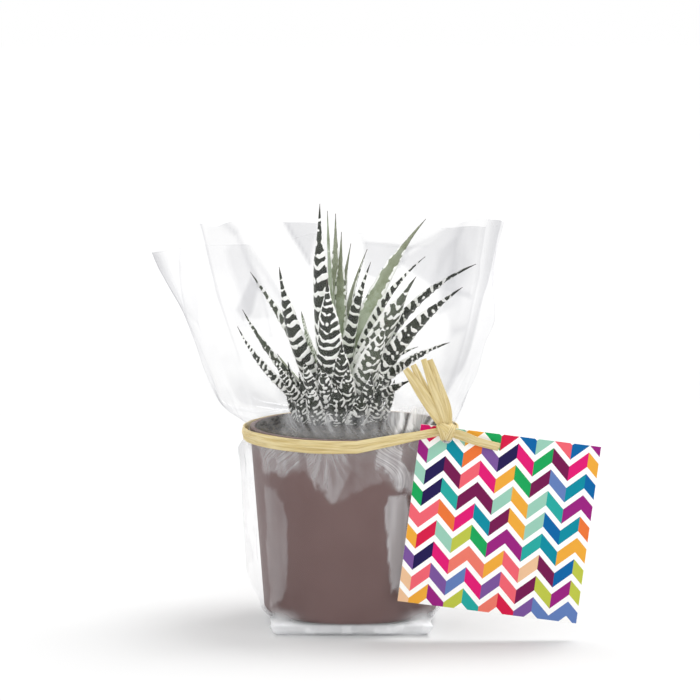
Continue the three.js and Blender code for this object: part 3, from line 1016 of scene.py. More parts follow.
@dataclass
class Soil:
    """A plug of peat that fills the pot and mounds up to the plant."""

    finish: PottingSoil
    pot: Pot
    edge_height: float = 56.3 * MM
    mound_height: float = 58.0 * MM
    sides: int = 150
    rings: int = 44
    crumbs: int = 340
    crumb_size: float = 0.75 * MM

    def top_radius(self) -> float:
        """Radius where the soil meets the pot's wall."""
        return float(self.pot.radius(self.edge_height)) - self.pot.wall - 0.4 * MM

    def top_height(self, place: np.ndarray) -> np.ndarray:
        """Height of the soil's top under a place.

        A smooth step lowers the mound towards the pot's wall, and two sizes of noise roughen it.

        Args:
            place: X and Y of each point, shape (..., 2).

        Returns:
            One height for each point.
        """
        radius = np.linalg.norm(place, axis=-1)
        edge = self.top_radius()
        slope = eased(radius, 0.35 * edge, edge)
        mound = self.mound_height + (self.edge_height - self.mound_height) * slope
        flat = np.concatenate([place, np.zeros(place.shape[:-1] + (1,))], axis=-1)
        lumps = 0.32 * lattice_noise(flat / (2.6 * MM), Seed.SOIL_LUMPS)
        grit = 0.2 * lattice_noise(flat / (1.1 * MM), Seed.SOIL_GRIT)
        return mound + (lumps + grit) * MM * (1.0 - eased(radius, 0.9 * edge, edge))

    def plug(self) -> Patch:
        """The body: up the sloping side and in across the top, ring by ring.

        Returns:
            The closed surface.
        """
        bottom = self.pot.base + self.pot.foot_depth + self.pot.floor + 0.3 * MM
        low = float(self.pot.radius(bottom)) - self.pot.wall - 0.3 * MM
        top = self.top_radius()
        radii = np.concatenate([[low], np.linspace(top, 0.4 * MM, self.rings)])
        angle = np.arange(self.sides) / self.sides * TURN
        flat = radii[:, None, None] * np.stack([np.cos(angle), np.sin(angle)], axis=-1)
        height = self.top_height(flat)
        height[0] = bottom
        return Patch.from_grid(np.concatenate([flat, height[..., None]], axis=-1))

    def crumb(self, centres: np.ndarray, radii: np.ndarray) -> Patch:
        """Small lumps, each a squashed ball of six-sided rings with its own dents.

        Args:
            centres: Middle of each lump, shape (lumps, 3).
            radii: Radius of each lump.

        Returns:
            The lumps as one surface.
        """
        sides, rows, pole = 6, 5, 0.12
        draw = np.random.default_rng(Seed.CRUMB_DENTS)
        polar = np.linspace(pole, pi - pole, rows)[::-1]
        angle = np.arange(sides) / sides * TURN
        ball = np.stack(
            [
                np.sin(polar)[:, None] * np.cos(angle),
                np.sin(polar)[:, None] * np.sin(angle),
                np.repeat(0.7 * np.cos(polar)[:, None], sides, axis=1),
            ],
            axis=-1,
        )
        dents = draw.uniform(0.7, 1.25, (len(radii), rows, sides, 1))
        lumps = ball[None] * radii[:, None, None, None] * dents
        return Patch.joined([Patch.from_grid(lump) for lump in lumps + centres[:, None, None]])

    def build(self) -> None:
        """Make the plug and scatter the crumbs on it."""
        draw = np.random.default_rng(Seed.CRUMB_PLACES)
        radius = (self.top_radius() - 1.2 * MM) * np.sqrt(draw.uniform(0.05, 1.0, self.crumbs))
        angle = draw.uniform(0, TURN, self.crumbs)
        flat = np.stack([radius * np.cos(angle), radius * np.sin(angle)], axis=-1)
        centres = np.concatenate([flat, self.top_height(flat)[:, None]], axis=-1)
        sizes = self.crumb_size * draw.uniform(0.4, 1.0, self.crumbs)
        whole = Patch.joined([self.plug(), self.crumb(centres, sizes)])
        settle(whole.to_object("soil_plug", self.finish.material()), "soil")


# -------------------- haworthia


@dataclass(frozen=True)
class Marking:
    """How much whiter than usual the bands are, how pale the skin is and how broken the bands are."""

    white: float
    pale: float
    broken: float


class Skin(Enum):
    """The ways in which a leaf of this plant is marked."""

    BANDED = Marking(0.0, 0.0, 0.26)
    BLOTCHED = Marking(0.12, 0.15, 0.6)
    BEADED = Marking(0.02, 0.0, 0.55)
    WHITENED = Marking(0.1, 0.12, 0.4)
    GREEN = Marking(-0.5, 0.75, 0.2)
    DUSKY = Marking(-0.08, 0.1, 0.7)
    SPECKLED = Marking(-0.05, 0.0, 0.85)
    SPOTTED = Marking(-0.05, 0.0, 0.48)
    DULL = Marking(0.0, 0.5, 0.9)


@dataclass(frozen=True)
class Leaf:
    """One leaf of the rosette.

    The azimuth is in degrees round the crown, with 0 right and 90 back. The leans are degrees
    from upright at the root and at the tip, and roll turns the leaf on its length. The lengths
    are in millimetres: how far out the root is, length, width, and pitch of the bands.
    """

    azimuth: float
    out: float
    leans: tuple[float, float]
    length: float
    width: float
    roll: float = 0.0
    pitch: float = 3.0
    skin: Skin = Skin.BANDED


MIDDLE_LEAVES = (
    Leaf(-125, 1, (20, -4), 63.5, 7.8, pitch=4.1),
    Leaf(-105, 5, (21, 3), 43, 9.8, pitch=2.5),
    Leaf(-170, 1, (3, 2), 60, 5.2, pitch=3.6, skin=Skin.GREEN),
    Leaf(100, 2.4, (14, -4), 59, 5, pitch=3.6),
    Leaf(70, 3, (-8, 4), 54, 5, pitch=3.4),
    Leaf(50, 3, (-13, 17), 51, 4.6, pitch=3.2),
    Leaf(30, 2, (-10, 26), 50, 4.6, pitch=3.2),
    Leaf(-30, 1, (-1, 23), 47, 5.8, roll=-20, pitch=3.0),
)

RIGHT_LEAVES = (
    Leaf(22, 1, (4, 44), 63.5, 7.0, roll=35, pitch=3.8),
    Leaf(8, 4, (-5, 52), 53, 4.8, roll=-50, pitch=2.4, skin=Skin.BEADED),
    Leaf(-35, 2, (20, 38), 49, 9.4, roll=-34, pitch=3.8, skin=Skin.BLOTCHED),
    Leaf(-12, 5, (6, 67), 59.5, 8.2, roll=-14, pitch=2.7, skin=Skin.SPOTTED),
    Leaf(-22, 5, (21, 56), 51.5, 8.6, roll=-26, pitch=2.7, skin=Skin.SPOTTED),
    Leaf(-15, 3, (29, 72), 38, 7.4, roll=-16, pitch=1.9, skin=Skin.SPOTTED),
    Leaf(5, 5, (4, 74), 29, 5, pitch=2.6),
    Leaf(-35, 3, (46, 68), 26, 6.4, roll=-20, pitch=1.8, skin=Skin.SPOTTED),
)

LEFT_LEAVES = (
    Leaf(170, 1, (25, 36), 49, 6.4, roll=38, pitch=3.2, skin=Skin.WHITENED),
    Leaf(-165, 1, (34, 7), 48, 8.4, roll=32, pitch=3.0),
    Leaf(-175, 1, (51, 28), 42, 5.6, roll=24, pitch=2.2, skin=Skin.DUSKY),
    Leaf(-160, 1, (65, 27), 41.6, 5.4, roll=18, pitch=1.8, skin=Skin.BEADED),
    Leaf(150, 1, (26, 16), 33, 8.6, roll=34, pitch=1.1, skin=Skin.DULL),
    Leaf(-88, 8, (16, 8), 25, 7.4, pitch=1.7),
    Leaf(-50, 5, (20, 34), 34, 9.4, roll=-18, pitch=2.5, skin=Skin.BLOTCHED),
    Leaf(-130, 6, (38, 15), 22, 7.2, pitch=1.5, skin=Skin.BEADED),
    Leaf(-152, 6, (50, 24), 25, 5.6, roll=14, pitch=1.4, skin=Skin.BEADED),
    Leaf(-118, 7, (26, 10), 19, 5.8, pitch=1.4, skin=Skin.SPECKLED),
    Leaf(-142, 7.5, (36, 14), 17, 5.4, pitch=1.4, skin=Skin.SPECKLED),
)

BACK_LEAVES = tuple(
    Leaf(35 + 16.5 * index, 5, (lean, lean - 10), length, 6.2, pitch=2.6)
    for index, (lean, length) in enumerate(zip((14, 46, 30) * 3, (26, 24, 22) * 3))
    if index < 8
)

SMALL_LEAVES = tuple(
    Leaf(-178 + 14 * index, out, (lean, 0.4 * lean), length, 6.2, pitch=1.5, skin=Skin.SPECKLED)
    for index, (out, lean, length) in enumerate(
        zip((11.5, 8.5) * 7, (26, 30, 18, 22) * 4, (13, 19, 11, 17, 14, 20) * 3)
    )
    if index < 14
)

OUTER_LEAVES = LEFT_LEAVES + BACK_LEAVES + SMALL_LEAVES


@dataclass
class Haworthia:
    """The plant: stiff pointed leaves in a rosette about a short crown."""

    finish: LeafSkin
    crown: Point = (-3 * MM, 0.0, 57 * MM)
    crown_radius: float = 9.6 * MM
    crown_depth: float = 7.0 * MM
    sunk: float = 5.0 * MM
    row_step: float = 0.34 * MM
    outer_points: int = 23
    inner_points: int = 11
    thickness: float = 0.36
    relief: float = 0.34 * MM

    def line(self, leaf: Leaf, shares: np.ndarray) -> tuple[np.ndarray, np.ndarray, np.ndarray]:
        """The middle line of a leaf and how it faces.

        The lean goes evenly from root to tip, and the line is the sum of its short steps in the
        direction of the lean, moved so that it passes through the root.

        Args:
            leaf: The leaf.
            shares: Shares of its length, below 0 where it is sunk in the crown.

        Returns:
            The middle points, the directions across the leaf and the directions out of it.
        """
        azimuth = radians(leaf.azimuth)
        radial = np.array([cos(azimuth), sin(azimuth), 0.0])
        level = np.array([-sin(azimuth), cos(azimuth), 0.0])
        at_root, at_tip = leaf.leans
        lean = np.radians(at_root + (at_tip - at_root) * np.maximum(shares, 0))[:, None]
        forward = np.sin(lean) * radial + np.cos(lean) * UP
        steps = 0.5 * (forward[1:] + forward[:-1]) * np.diff(shares)[:, None] * leaf.length * MM
        walked = np.vstack([np.zeros(3), np.cumsum(steps, axis=0)])
        root = np.array([np.interp(0.0, shares, walked[:, axis]) for axis in range(3)])
        middle = np.array(self.crown) + radial * leaf.out * MM + walked - root
        roll = radians(leaf.roll)
        across = level * cos(roll) + np.cross(forward, level) * sin(roll)
        return middle, across, np.cross(across, forward)

    def bands(
        self, leaf: Leaf, shares: np.ndarray, side: np.ndarray, half: np.ndarray, seed: int
    ) -> np.ndarray:
        """Where the raised white bands run on the outer side, above 0.5 on a band.

        The bands stand a pitch apart, closer near the root, and sag towards it in the middle.
        Noise bends them and breaks them into rounded lumps, a lumpy line follows both margins,
        and all of it fades near the tip.

        Args:
            leaf: The leaf.
            shares: Share of the length for each row, shape (rows, 1).
            side: Place across the leaf from -1 to 1, shape (1, columns).
            half: Half width of each row, shape (rows, 1).
            seed: Chooses the noise.

        Returns:
            One value for each row and column.
        """
        mark = leaf.skin.value
        share = np.clip(shares, 0, 1)
        near_root = 0.5 + 0.5 * eased(share, 0.02, 0.5)
        near_tip = 1 - 0.3 * eased(share, 0.6, 1.0)
        pitch = leaf.pitch * MM * near_root * near_tip
        step = np.diff(shares[:, 0], prepend=shares[0, 0])[:, None]
        count = np.cumsum(step * leaf.length * MM / pitch, axis=0)
        sag = 0.55 * half * side**2 / pitch
        across = side * half
        bend = noise_over(Seed.BAND_BEND, count, across / (1.6 * MM), seed * 3.7)
        wave = 0.5 + 0.5 * np.cos(TURN * (count - sag + (0.12 + 0.5 * mark.broken) * bend))
        lumps = noise_over(Seed.BAND_LUMPS, count * 1.6, across / (0.62 * MM), seed * 5.1)
        broken = eased(share, 0.35, 0.8)
        raised = wave + lumps * (mark.broken + 0.16 * broken) - 0.13 - 0.12 * broken
        beads = noise_over(Seed.MARGIN_BEADS, count * 2.2, np.sign(side) * 4, seed * 7.3)
        margin = eased(np.abs(side), 0.72, 0.97) * (0.6 + 0.45 * beads)
        raised = np.maximum(raised, margin) + mark.white
        return raised * (1 - eased(share, 0.92, 1.0)) - 0.25 * eased(share, 0.95, 1.0)

    def leaf(self, leaf: Leaf, seed: int) -> Patch:
        """One leaf, closed at its root and its tip.

        The half width falls as the power 0.75 of what is left of the length. The outer side is a
        rounded keel, the inner side is nearly flat, and the bands lift the outer side.

        Args:
            leaf: The leaf.
            seed: Chooses its markings.

        Returns:
            The surface, with its values for band, inner, share and pale.
        """
        rows = int((leaf.length * MM + self.sunk) / self.row_step)
        shares = np.linspace(-self.sunk / (leaf.length * MM), 1.0, rows)
        middle, across, outer = self.line(leaf, shares)
        share = np.clip(shares, 0, 0.9995)[:, None]
        whisker = 1 - 0.5 * eased(share, 0.72, 0.92)
        half = 0.5 * leaf.width * MM * (1 - share) ** 0.75 * (1 + 0.6 * share) * whisker
        half = np.maximum(half, 0.1 * MM)
        deep = np.maximum(self.thickness * 2 * half, np.minimum(0.8 * MM, 1.6 * half))
        outside = np.linspace(-1, 1, self.outer_points)
        inside = np.linspace(1, -1, self.inner_points + 2)[1:-1]
        side = np.concatenate([outside, inside])[None, :]
        is_inner = np.concatenate([np.zeros(len(outside)), np.ones(len(inside))])[None, :]
        keel = 0.8 * (1 - np.abs(side) ** 2.2) - 0.25
        flat = -0.25 - 0.2 * (1 - side**2)
        depth = deep * np.where(is_inner > 0.5, flat, keel)
        raised = self.bands(leaf, shares[:, None], side, half, seed)
        along = shares[:, None] * leaf.length / 0.8
        teeth = noise_over(Seed.INNER_TEETH, along, np.sign(side), seed * 4.3)
        toothed = eased(np.abs(side), 0.45, 0.8) * (0.6 + 0.5 * teeth) * (1 - eased(share, 0.8, 0.9))
        raised = np.where(is_inner > 0.5, toothed, raised)
        lift = self.relief * np.minimum(1, half / (1.5 * MM)) * eased(raised, 0.3, 0.75)
        lift = lift * np.where(is_inner > 0.5, 0.4, 1.0) * eased(share, 0.0, 0.04)
        edgewise = np.abs(side) ** 3
        offset_across = side * half + np.sign(side) * edgewise * lift
        offset_out = depth + (1 - edgewise) * lift * np.where(is_inner > 0.5, -1.0, 1.0)
        grid = (
            middle[:, None]
            + across[:, None] * offset_across[..., None]
            + outer[:, None] * offset_out[..., None]
        )
        inner = is_inner * (1 - eased(np.abs(side), 0.75, 1.0)) + 0 * share
        pale = np.array([[leaf.skin.value.pale]])
        values = {"band": raised, "inner": inner, "share": share, "pale": pale}
        return Patch.from_grid(grid, values)

    def heart(self) -> Patch:
        """The short crown that the leaves grow from.

        Returns:
            The surface, with the same values as a leaf.
        """
        x, y, root = self.crown
        radius = self.crown_radius
        profile = filleted(
            [
                (SMALL_HUB, root - self.crown_depth, 0.0),
                (0.7 * radius, root - self.crown_depth, 1.0 * MM),
                (radius, root - 2 * MM, 1.5 * MM),
                (0.86 * radius, root + 2 * MM, 1.5 * MM),
                (0.5 * radius, root + 6 * MM, 1.5 * MM),
                (SMALL_HUB, root + 7.5 * MM, 0.0),
            ]
        )
        levels = {"band": 0.0, "inner": 0.4, "share": 0.1, "pale": 0.0}
        values = {name: np.full(len(profile), level) for name, level in levels.items()}
        patch = spun(profile, 60, values)
        patch.points[:, :2] += (x, y)
        return patch

    def build(self) -> None:
        """Grow the leaves in three pieces, so that each stays light."""
        material = self.finish.material()
        number = 0
        for name, leaves in (
            ("haworthia_middle_leaves", MIDDLE_LEAVES),
            ("haworthia_right_leaves", RIGHT_LEAVES),
            ("haworthia_outer_leaves", OUTER_LEAVES),
        ):
            patches = [self.leaf(leaf, number + index) for index, leaf in enumerate(leaves)]
            number += len(leaves)
            if leaves is MIDDLE_LEAVES:
                patches.append(self.heart())
            settle(Patch.joined(patches).to_object(name, material), "haworthia")


# -------------------- bag of clear film


class Panel(IntEnum):
    """The four panels of the bag, in their order round it."""

    FRONT = 0
    RIGHT = 1
    BACK = 2
    LEFT = 3


@dataclass(frozen=True)
class BagSection:
    """One level of the bag.

    The corners are front left, front right, back right and back left, and the bows say how far
    the front, right, back and left panel swell out. All lengths are in millimetres.
    """

    corners: tuple[Point, ...]
    bows: tuple[float, float, float, float]
    rows: int


def level_section(height: float, half: float, bow: float, rows: int) -> BagSection:
    """A square section with the same bow on each side."""
    corners = tuple((x * half, y * half, height) for x, y in ((-1, -1), (1, -1), (1, 1), (-1, 1)))
    return BagSection(corners, (bow,) * 4, rows)


def round_section(height: float, radius: float, rows: int) -> BagSection:
    """A round section: a square whose bows reach the circle round it."""
    half = radius * 0.5**0.5
    return level_section(height, half, radius - half, rows)


@dataclass(frozen=True)
class Fold:
    """A long fold in a panel, from one point to another in X and Z, in millimetres."""

    start: tuple[float, float]
    end: tuple[float, float]
    depth: float
    width: float
    # painted shade along the fold's crease
    shade: float
    spread: float = 0.6


@dataclass(frozen=True)
class Region:
    """A patch of film that is greyer or milkier than the rest.

    Its grey is painted shade and its milkiness stands in for painted highlights and reflections. Its
    outline is convex and runs anticlockwise as seen from outside, in millimetres across and up; soft is
    how far its edge fades.
    """

    outline: tuple[tuple[float, float], ...]
    shade: float = 0.0
    milk: float = 0.0
    soft: float = 0.8

    def over(self, across: np.ndarray, up: np.ndarray) -> np.ndarray:
        """1 inside the outline and 0 outside: the least distance to an edge line, eased.

        Args:
            across: Place across the panel, in millimetres.
            up: Height, in millimetres.

        Returns:
            One value for each point.
        """
        inside = np.full(across.shape, np.inf)
        for start, end in zip(self.outline, self.outline[1:] + self.outline[:1]):
            step = np.array(end) - np.array(start)
            off = (step[0] * (up - start[1]) - step[1] * (across - start[0])) / np.hypot(*step)
            inside = np.minimum(inside, off)
        return eased(inside, -self.soft, self.soft)


# Folds and regions of the panels: their shade is painted shade, and their milkiness over the soil stands in
# for painted reflections.
FRONT_FOLDS = (
    Fold((-36.9, 117.8), (-31.5, 111.5), 1.1, 5.0, 0.55, 0.9),
    Fold((-31.5, 111.5), (-24.3, 96.7), 1.0, 4.0, 0.42, 0.8),
    Fold((-24.3, 96.7), (-22.0, 84.0), 0.7, 4.0, 0.2),
    Fold((-20.2, 118.7), (-11.2, 104.2), 0.9, 4.0, 0.2),
    Fold((0.6, 117.0), (4.5, 108.0), -0.6, 3.0, 0.12),
    Fold((12.9, 106.0), (27.2, 115.4), 0.8, 4.0, 0.22),
    Fold((31.3, 117.6), (21.8, 98.0), 0.7, 5.0, 0.12, 1.2),
)
BACK_FOLDS = (
    Fold((-21.3, 105.8), (-4.4, 106.2), 0.5, 3.0, 0.1),
    Fold((33.0, 112.0), (16.0, 84.0), 0.8, 5.0, 0.2, 1.0),
    Fold((-32.0, 112.0), (-26.0, 86.0), 0.8, 5.0, 0.2, 1.0),
    Fold((9.0, 108.0), (2.0, 80.0), 0.6, 5.0, 0.12, 1.4),
)
SIDE_FOLDS = (
    Fold((-6.0, 108.0), (4.0, 84.0), 0.9, 5.0, 0.1),
    Fold((7.0, 96.0), (-2.0, 70.0), 0.8, 5.0, 0.1),
)
FRONT_REGIONS = (
    Region(
        ((-40.3, 106.1), (-38.0, 98.0), (-31.4, 86.0), (-24.3, 86.0), (-24.3, 96.7))
        + ((-36.7, 117.8), (-39.8, 114.5)),
        0.11,
    ),
    Region(((-31.5, 91.0), (-29.5, 88.0), (-27.2, 90.0), (-25.0, 98.0), (-27.4, 100.0)), 0.24, soft=0.6),
    Region(((-16.7, 112.0), (-11.2, 104.2), (-8.4, 116.2), (-20.2, 119.0)), 0.27),
    Region(((12.9, 104.2), (21.7, 98.0), (33.0, 94.0), (35.5, 115.6), (27.0, 115.0)), 0.24),
    Region(((24.0, 97.0), (28.0, 84.0), (34.0, 86.0), (36.5, 95.0)), 0.18, soft=1.2),
    Region(((27.0, 86.5), (23.5, 70.0), (28.5, 67.0), (34.5, 86.5)), 0.14, soft=1.4),
    Region(((26.6, 100.0), (29.5, 92.0), (32.5, 104.0), (31.0, 110.0)), 0.12, soft=1.4),
    Region(((-18.8, 63.4), (-18.8, 57.4), (12.0, 57.4), (12.0, 63.4)), 0.0, 0.13, 1.4),
    Region(((11.0, 64.0), (11.0, 57.6), (24.5, 58.5), (25.5, 64.5)), 0.0, 0.55, 1.2),
    Region(((-31.5, 68.0), (-30.0, 64.0), (-22.0, 62.5), (-19.0, 65.0), (-24.0, 68.5)), 0.09, soft=1.2),
    Region(((-27.0, 62.0), (-24.0, 59.5), (-19.0, 60.0), (-20.0, 62.5)), 0.09, soft=1.0),
)
BACK_REGIONS = (
    Region(((-17.6, 106.0), (-14.2, 99.0), (-8.4, 95.5), (-3.8, 97.0), (-3.8, 106.4)), 0.26),
    Region(((16.0, 84.0), (30.0, 84.0), (36.0, 104.0), (33.0, 111.0)), 0.16),
    Region(((-30.0, 88.0), (-24.0, 84.0), (-25.0, 104.0), (-31.0, 108.0)), 0.12),
    Region(((-14.0, 66.0), (-14.0, 58.5), (16.0, 58.5), (16.0, 66.0)), 0.0, 0.04, 1.6),
)
LEFT_REGIONS = (
    Region(((-12.0, 96.0), (-4.0, 84.0), (2.0, 88.0), (-3.0, 104.0)), 0.1, soft=1.0),
)
# Painted highlights on the film over the pot, given as milkiness: the pale bands at its sides and the glints
# of its crinkles.
POT_HIGHLIGHT_REGIONS = (
    Region(((-27.0, 55.5), (-25.0, 44.5), (-8.6, 47.0), (-6.0, 56.5)), 0.0, 0.09, 1.2),
    Region(((-8.6, 56.4), (-8.6, 47.0), (1.6, 38.7), (5.9, 40.6), (14.0, 45.0), (14.0, 56.4)), 0.0, 0.09),
    Region(((14.0, 56.4), (14.0, 45.0), (25.9, 39.9), (27.5, 41.0), (27.5, 54.5)), 0.0, 0.12),
    Region(((-6.9, 54.2), (-6.2, 45.4), (1.6, 38.7), (5.9, 46.7), (5.0, 54.2)), 0.0, 0.13, 0.6),
    Region(((-25.7, 54.0), (-24.1, 45.6), (-15.0, 44.5), (-8.5, 48.8), (-8.4, 54.0)), 0.0, 0.16),
    Region(((12.8, 54.5), (14.3, 49.3), (20.6, 41.8), (26.9, 39.4), (26.7, 44.0), (18.6, 54.5)), 0.0, 0.28),
    Region(
        ((-24.6, 41.0), (-25.6, 19.2), (-23.9, 6.1), (-17.2, 9.5), (-14.6, 21.3), (-14.6, 32.8))
        + ((-18.2, 40.8),),
        0.0,
        0.13,
        0.5,
    ),
    Region(
        ((16.3, 39.3), (17.5, 22.2), (19.5, 13.5), (22.8, 13.2), (24.5, 21.6), (24.0, 34.0))
        + ((23.3, 40.2),),
        0.0,
        0.32,
        0.5,
    ),
)


@dataclass(frozen=True)
class CornerLine:
    """How wide and how dark the crease at one corner of the bag is.

    Its darkness is painted shade. It darkens from one height over the tie to another. All lengths are in
    millimetres.
    """

    width: float
    shade: float
    start: float = 12.0
    full: float = 46.0


class SheetForms:
    """The smooth sheet, and the forms on it that its relief, shade and milkiness share.

    Attributes:
        points: The smooth sheet by row and column, in metres.
        share: Share of the way along a panel, for each point.
        number: Share of the way round the bag, for each column.
        panel: Number of the panel, for each column.
        calm: Less than 1 on the side panels, where the film is smoother.
        height: Height in millimetres.
        above: Height over the tie, in millimetres.
        azimuth: Angle about the pot's axis.
        warp: Slow noise round the bag.
        fine: Quick noise round the bag.
        upper: Gathering above the tie.
        lower: Gathering below the tie.
        at_tie: Nearness to the tie.
        facets: Crushed facets that grow towards the mouth.
        dents: Small crushed dents, for the folded base.
        based: 1 in the folded base and 0 above it.
        slack: 1 on the loose fold of film at the left of the pot.
    """

    def __init__(self, bag: "FilmBag") -> None:
        """Measure the smooth sheet of a bag and work out the forms.

        Args:
            bag: The bag.
        """
        self.points, self.share = bag.rings()
        columns = self.share.shape[1]
        self.number = np.arange(columns) / columns
        self.panel = np.repeat(np.arange(len(Panel)), bag.steps)
        self.calm = 1 - 0.55 * np.isin(self.panel, (Panel.RIGHT, Panel.LEFT))
        self.height = self.points[..., 2] / MM
        self.above = self.height - bag.neck_height
        self.azimuth = np.arctan2(self.points[..., 1], self.points[..., 0])
        self.warp = self.noise(Seed.FILM_WARP)
        self.fine = lattice_noise(self.tube(14, 9), Seed.FILM_CRINKLE)
        self.upper = bell(np.maximum(self.above - 6, 0), 11) * eased(self.above, 0, 5)
        self.lower = bell(np.minimum(self.above + 3, 0), 7) * (self.above < 0)
        self.at_tie = bell(self.above, 3.5)
        self.facets = crumple(self.points * (1, 1, 0.8), 17 * MM, Seed.FILM_FACETS)
        self.facets = self.facets * eased(self.above, 6, 45)
        self.dents = crumple(self.points, 4 * MM, Seed.BASE_DENTS)
        self.based = 1 - eased(self.height, 3.0, 4.6)
        from_left = (pi - np.abs(self.azimuth)) * bag.neck_radius
        loose = eased(self.height, 4, 14) * (1 - eased(self.height, 49, 54.5))
        self.slack = bell(from_left + 2.5 * self.fine, bag.slack_width) * loose

    def tube(self, radius: float, swell: float) -> np.ndarray:
        """Places for noise that meets itself round the bag.

        Args:
            radius: Radius of the tube that the bag is rolled on, in lattice units.
            swell: Height of one lattice unit, in millimetres.

        Returns:
            The place of each point, in lattice units.
        """
        turn = np.broadcast_to(self.number * TURN, self.share.shape)
        return np.stack([np.cos(turn) * radius, np.sin(turn) * radius, self.height / swell], axis=-1)

    def noise(self, seed: int, across: float = 1.0, up: float = 1.0) -> np.ndarray:
        """Noise round the bag, this many times quicker across and up than the slow one."""
        return lattice_noise(self.tube(3, 14) * (across, across, up), seed)

    def outward(self) -> np.ndarray:
        """The level direction out of the sheet at each point.

        Returns:
            One unit vector for each point.
        """
        tangent = np.roll(self.points, -1, axis=1) - np.roll(self.points, 1, axis=1)
        tangent[..., 2] = 0
        return unit(np.cross(tangent, UP))


@dataclass
class FilmBag:
    """The open-topped gift bag: one thin sheet, gathered at the pot's rim.

    The neck, the slack fold and the waves of the mouth are in millimetres, and the flat size is
    in metres.
    """

    finish: ClearFilm
    pot: Pot
    steps: int = 96
    neck_radius: float = 29.2
    neck_height: float = 54.6
    clearance: float = 0.4
    slack_width: float = 6.0
    slack_lift: float = 3.4
    mouth_wave: float = 1.6
    evening: int = 40
    gathers: int = 30
    flat: tuple[float, float] = (0.236, 0.135)
    fan_centre: float = radians(-102)
    fans: int = 3
    base_rings: int = 14
    # milkiness of the folded base and its flaps, partly folded film and partly painted highlight
    folded_milk_and_sheen: float = 0.6
    corner_lines: tuple[CornerLine, ...] = (
        CornerLine(0.5, 0.3),
        CornerLine(1.4, 0.2, 4.0, 22.0),
        CornerLine(1.5, 0.34, 2.0, 18.0),
        CornerLine(1.4, 0.45, 4.0, 50.0),
    )

    def hug(self, height: float) -> float:
        """Radius that leaves a hair of air round the pot at a height, in millimetres."""
        return float(self.pot.radius(height * MM)) / MM + self.clearance

    def sections(self) -> list[BagSection]:
        """The levels of the bag.

        Returns:
            The levels from the folded base to the mouth, each with the rows up to the next one.
        """
        return [
            level_section(0.05, 20.4, 0.2, 5),
            level_section(1, 21.7, 0.2, 6),
            level_section(3, 22.6, 0.2, 6),
            level_section(4.4, 19.9, 5.9, 12),
            round_section(12, self.hug(12) + 0.3, 18),
            round_section(30, self.hug(30), 18),
            round_section(46, self.hug(46), 16),
            round_section(52.5, self.neck_radius, 12),
            round_section(56.8, self.neck_radius, 16),
            BagSection(
                ((-25.5, -18.5, 61), (24, -18.5, 61), (27, 17, 61), (-37.5, 13, 60)), (9, 6, 9, 3), 26
            ),
            BagSection(((-29, -20, 72), (28, -20, 73), (33, 18, 72), (-42.5, 17, 70)), (6, 5, 7, 3), 28),
            BagSection(
                ((-34, -18.5, 87), (32.7, -18.5, 87.5), (37.4, 17, 87.5), (-47.5, 17, 84)), (5, 4, 6, 3), 28
            ),
            BagSection(
                ((-38.5, -16, 102), (35, -16, 102), (40, 15.5, 101), (-53, 15, 95)), (4, 3, 5, 2.5), 24
            ),
            BagSection(
                ((-41.5, -14, 115), (36.5, -14, 115), (42.2, 14, 112.6), (-57, 13.5, 104)), (3, 2, 4, 2), 0
            ),
        ]

    def rings(self) -> tuple[np.ndarray, np.ndarray]:
        """The smooth sheet without its wrinkles.

        Corners and bows are evened out between the sections. A panel between two corners is the
        arc of a circle whose height over its chord is the bow.

        Returns:
            The points by row and column, in metres, and the share of the chord at each.
        """
        sections = self.sections()
        corners = np.array([section.corners for section in sections]) * MM
        bows = np.array([section.bows for section in sections]) * MM
        numbers = np.arange(len(sections))
        between = [
            number + np.arange(section.rows) / section.rows
            for number, section in zip(numbers, sections[:-1])
        ]
        levels = np.concatenate(between + [numbers[-1:]])
        table = np.concatenate([corners.reshape(len(sections), -1), bows], axis=1)
        table = np.stack([np.interp(levels, numbers, column) for column in table.T], axis=-1)
        free = eased(table[:, 2], 57 * MM, 64 * MM)[:, None]
        for _ in range(self.evening):
            evened = table.copy()
            evened[1:-1] = 0.25 * table[:-2] + 0.5 * table[1:-1] + 0.25 * table[2:]
            table = table + (evened - table) * free
        corner, bow = table[:, :12].reshape(-1, 4, 3), table[:, 12:]
        chord = np.roll(corner, -1, axis=1) - corner
        span = np.hypot(chord[..., 0], chord[..., 1])
        outward = np.stack([chord[..., 1], -chord[..., 0], 0 * span], axis=-1) / span[..., None]
        radius = (span**2 / 4 + bow**2) / (2 * bow)
        reach = np.arcsin(np.minimum(1.0, span / 2 / radius))[..., None]
        angle = reach * np.linspace(-1, 1, self.steps, endpoint=False)
        share = 0.5 + 0.5 * np.sin(angle) / np.sin(reach)
        rise = radius[..., None] * (np.cos(angle) - np.cos(reach))
        points = corner[:, :, None] + chord[:, :, None] * share[..., None]
        points = points + outward[:, :, None] * rise[..., None]
        return points.reshape(len(levels), -1, 3), share.reshape(len(levels), -1)

    @staticmethod
    def folds(
        across: np.ndarray, up: np.ndarray, folds: tuple[Fold, ...]
    ) -> tuple[np.ndarray, np.ndarray]:
        """The lift and the shade that long folds give.

        A fold is a tent over the line from its start to its end: it falls away evenly to its
        width, and its painted shade is a narrow bell over the same line.

        Args:
            across: Place across the panel, in millimetres.
            up: Height, in millimetres.
            folds: The folds of one panel.

        Returns:
            The lift in metres and the shade, at each point.
        """
        lift = np.zeros(across.shape)
        shade = np.zeros(across.shape)
        flat = np.stack([across, up], axis=-1)
        for fold in folds:
            start, line = np.array(fold.start), np.array(fold.end) - np.array(fold.start)
            along = np.clip((flat - start) @ line / (line @ line), 0, 1)
            off = np.linalg.norm(flat - start - along[..., None] * line, axis=-1)
            lift += fold.depth * MM * np.clip(1 - off / fold.width, 0, 1)
            shade = np.maximum(shade, fold.shade * bell(off, fold.spread))
        return lift, shade

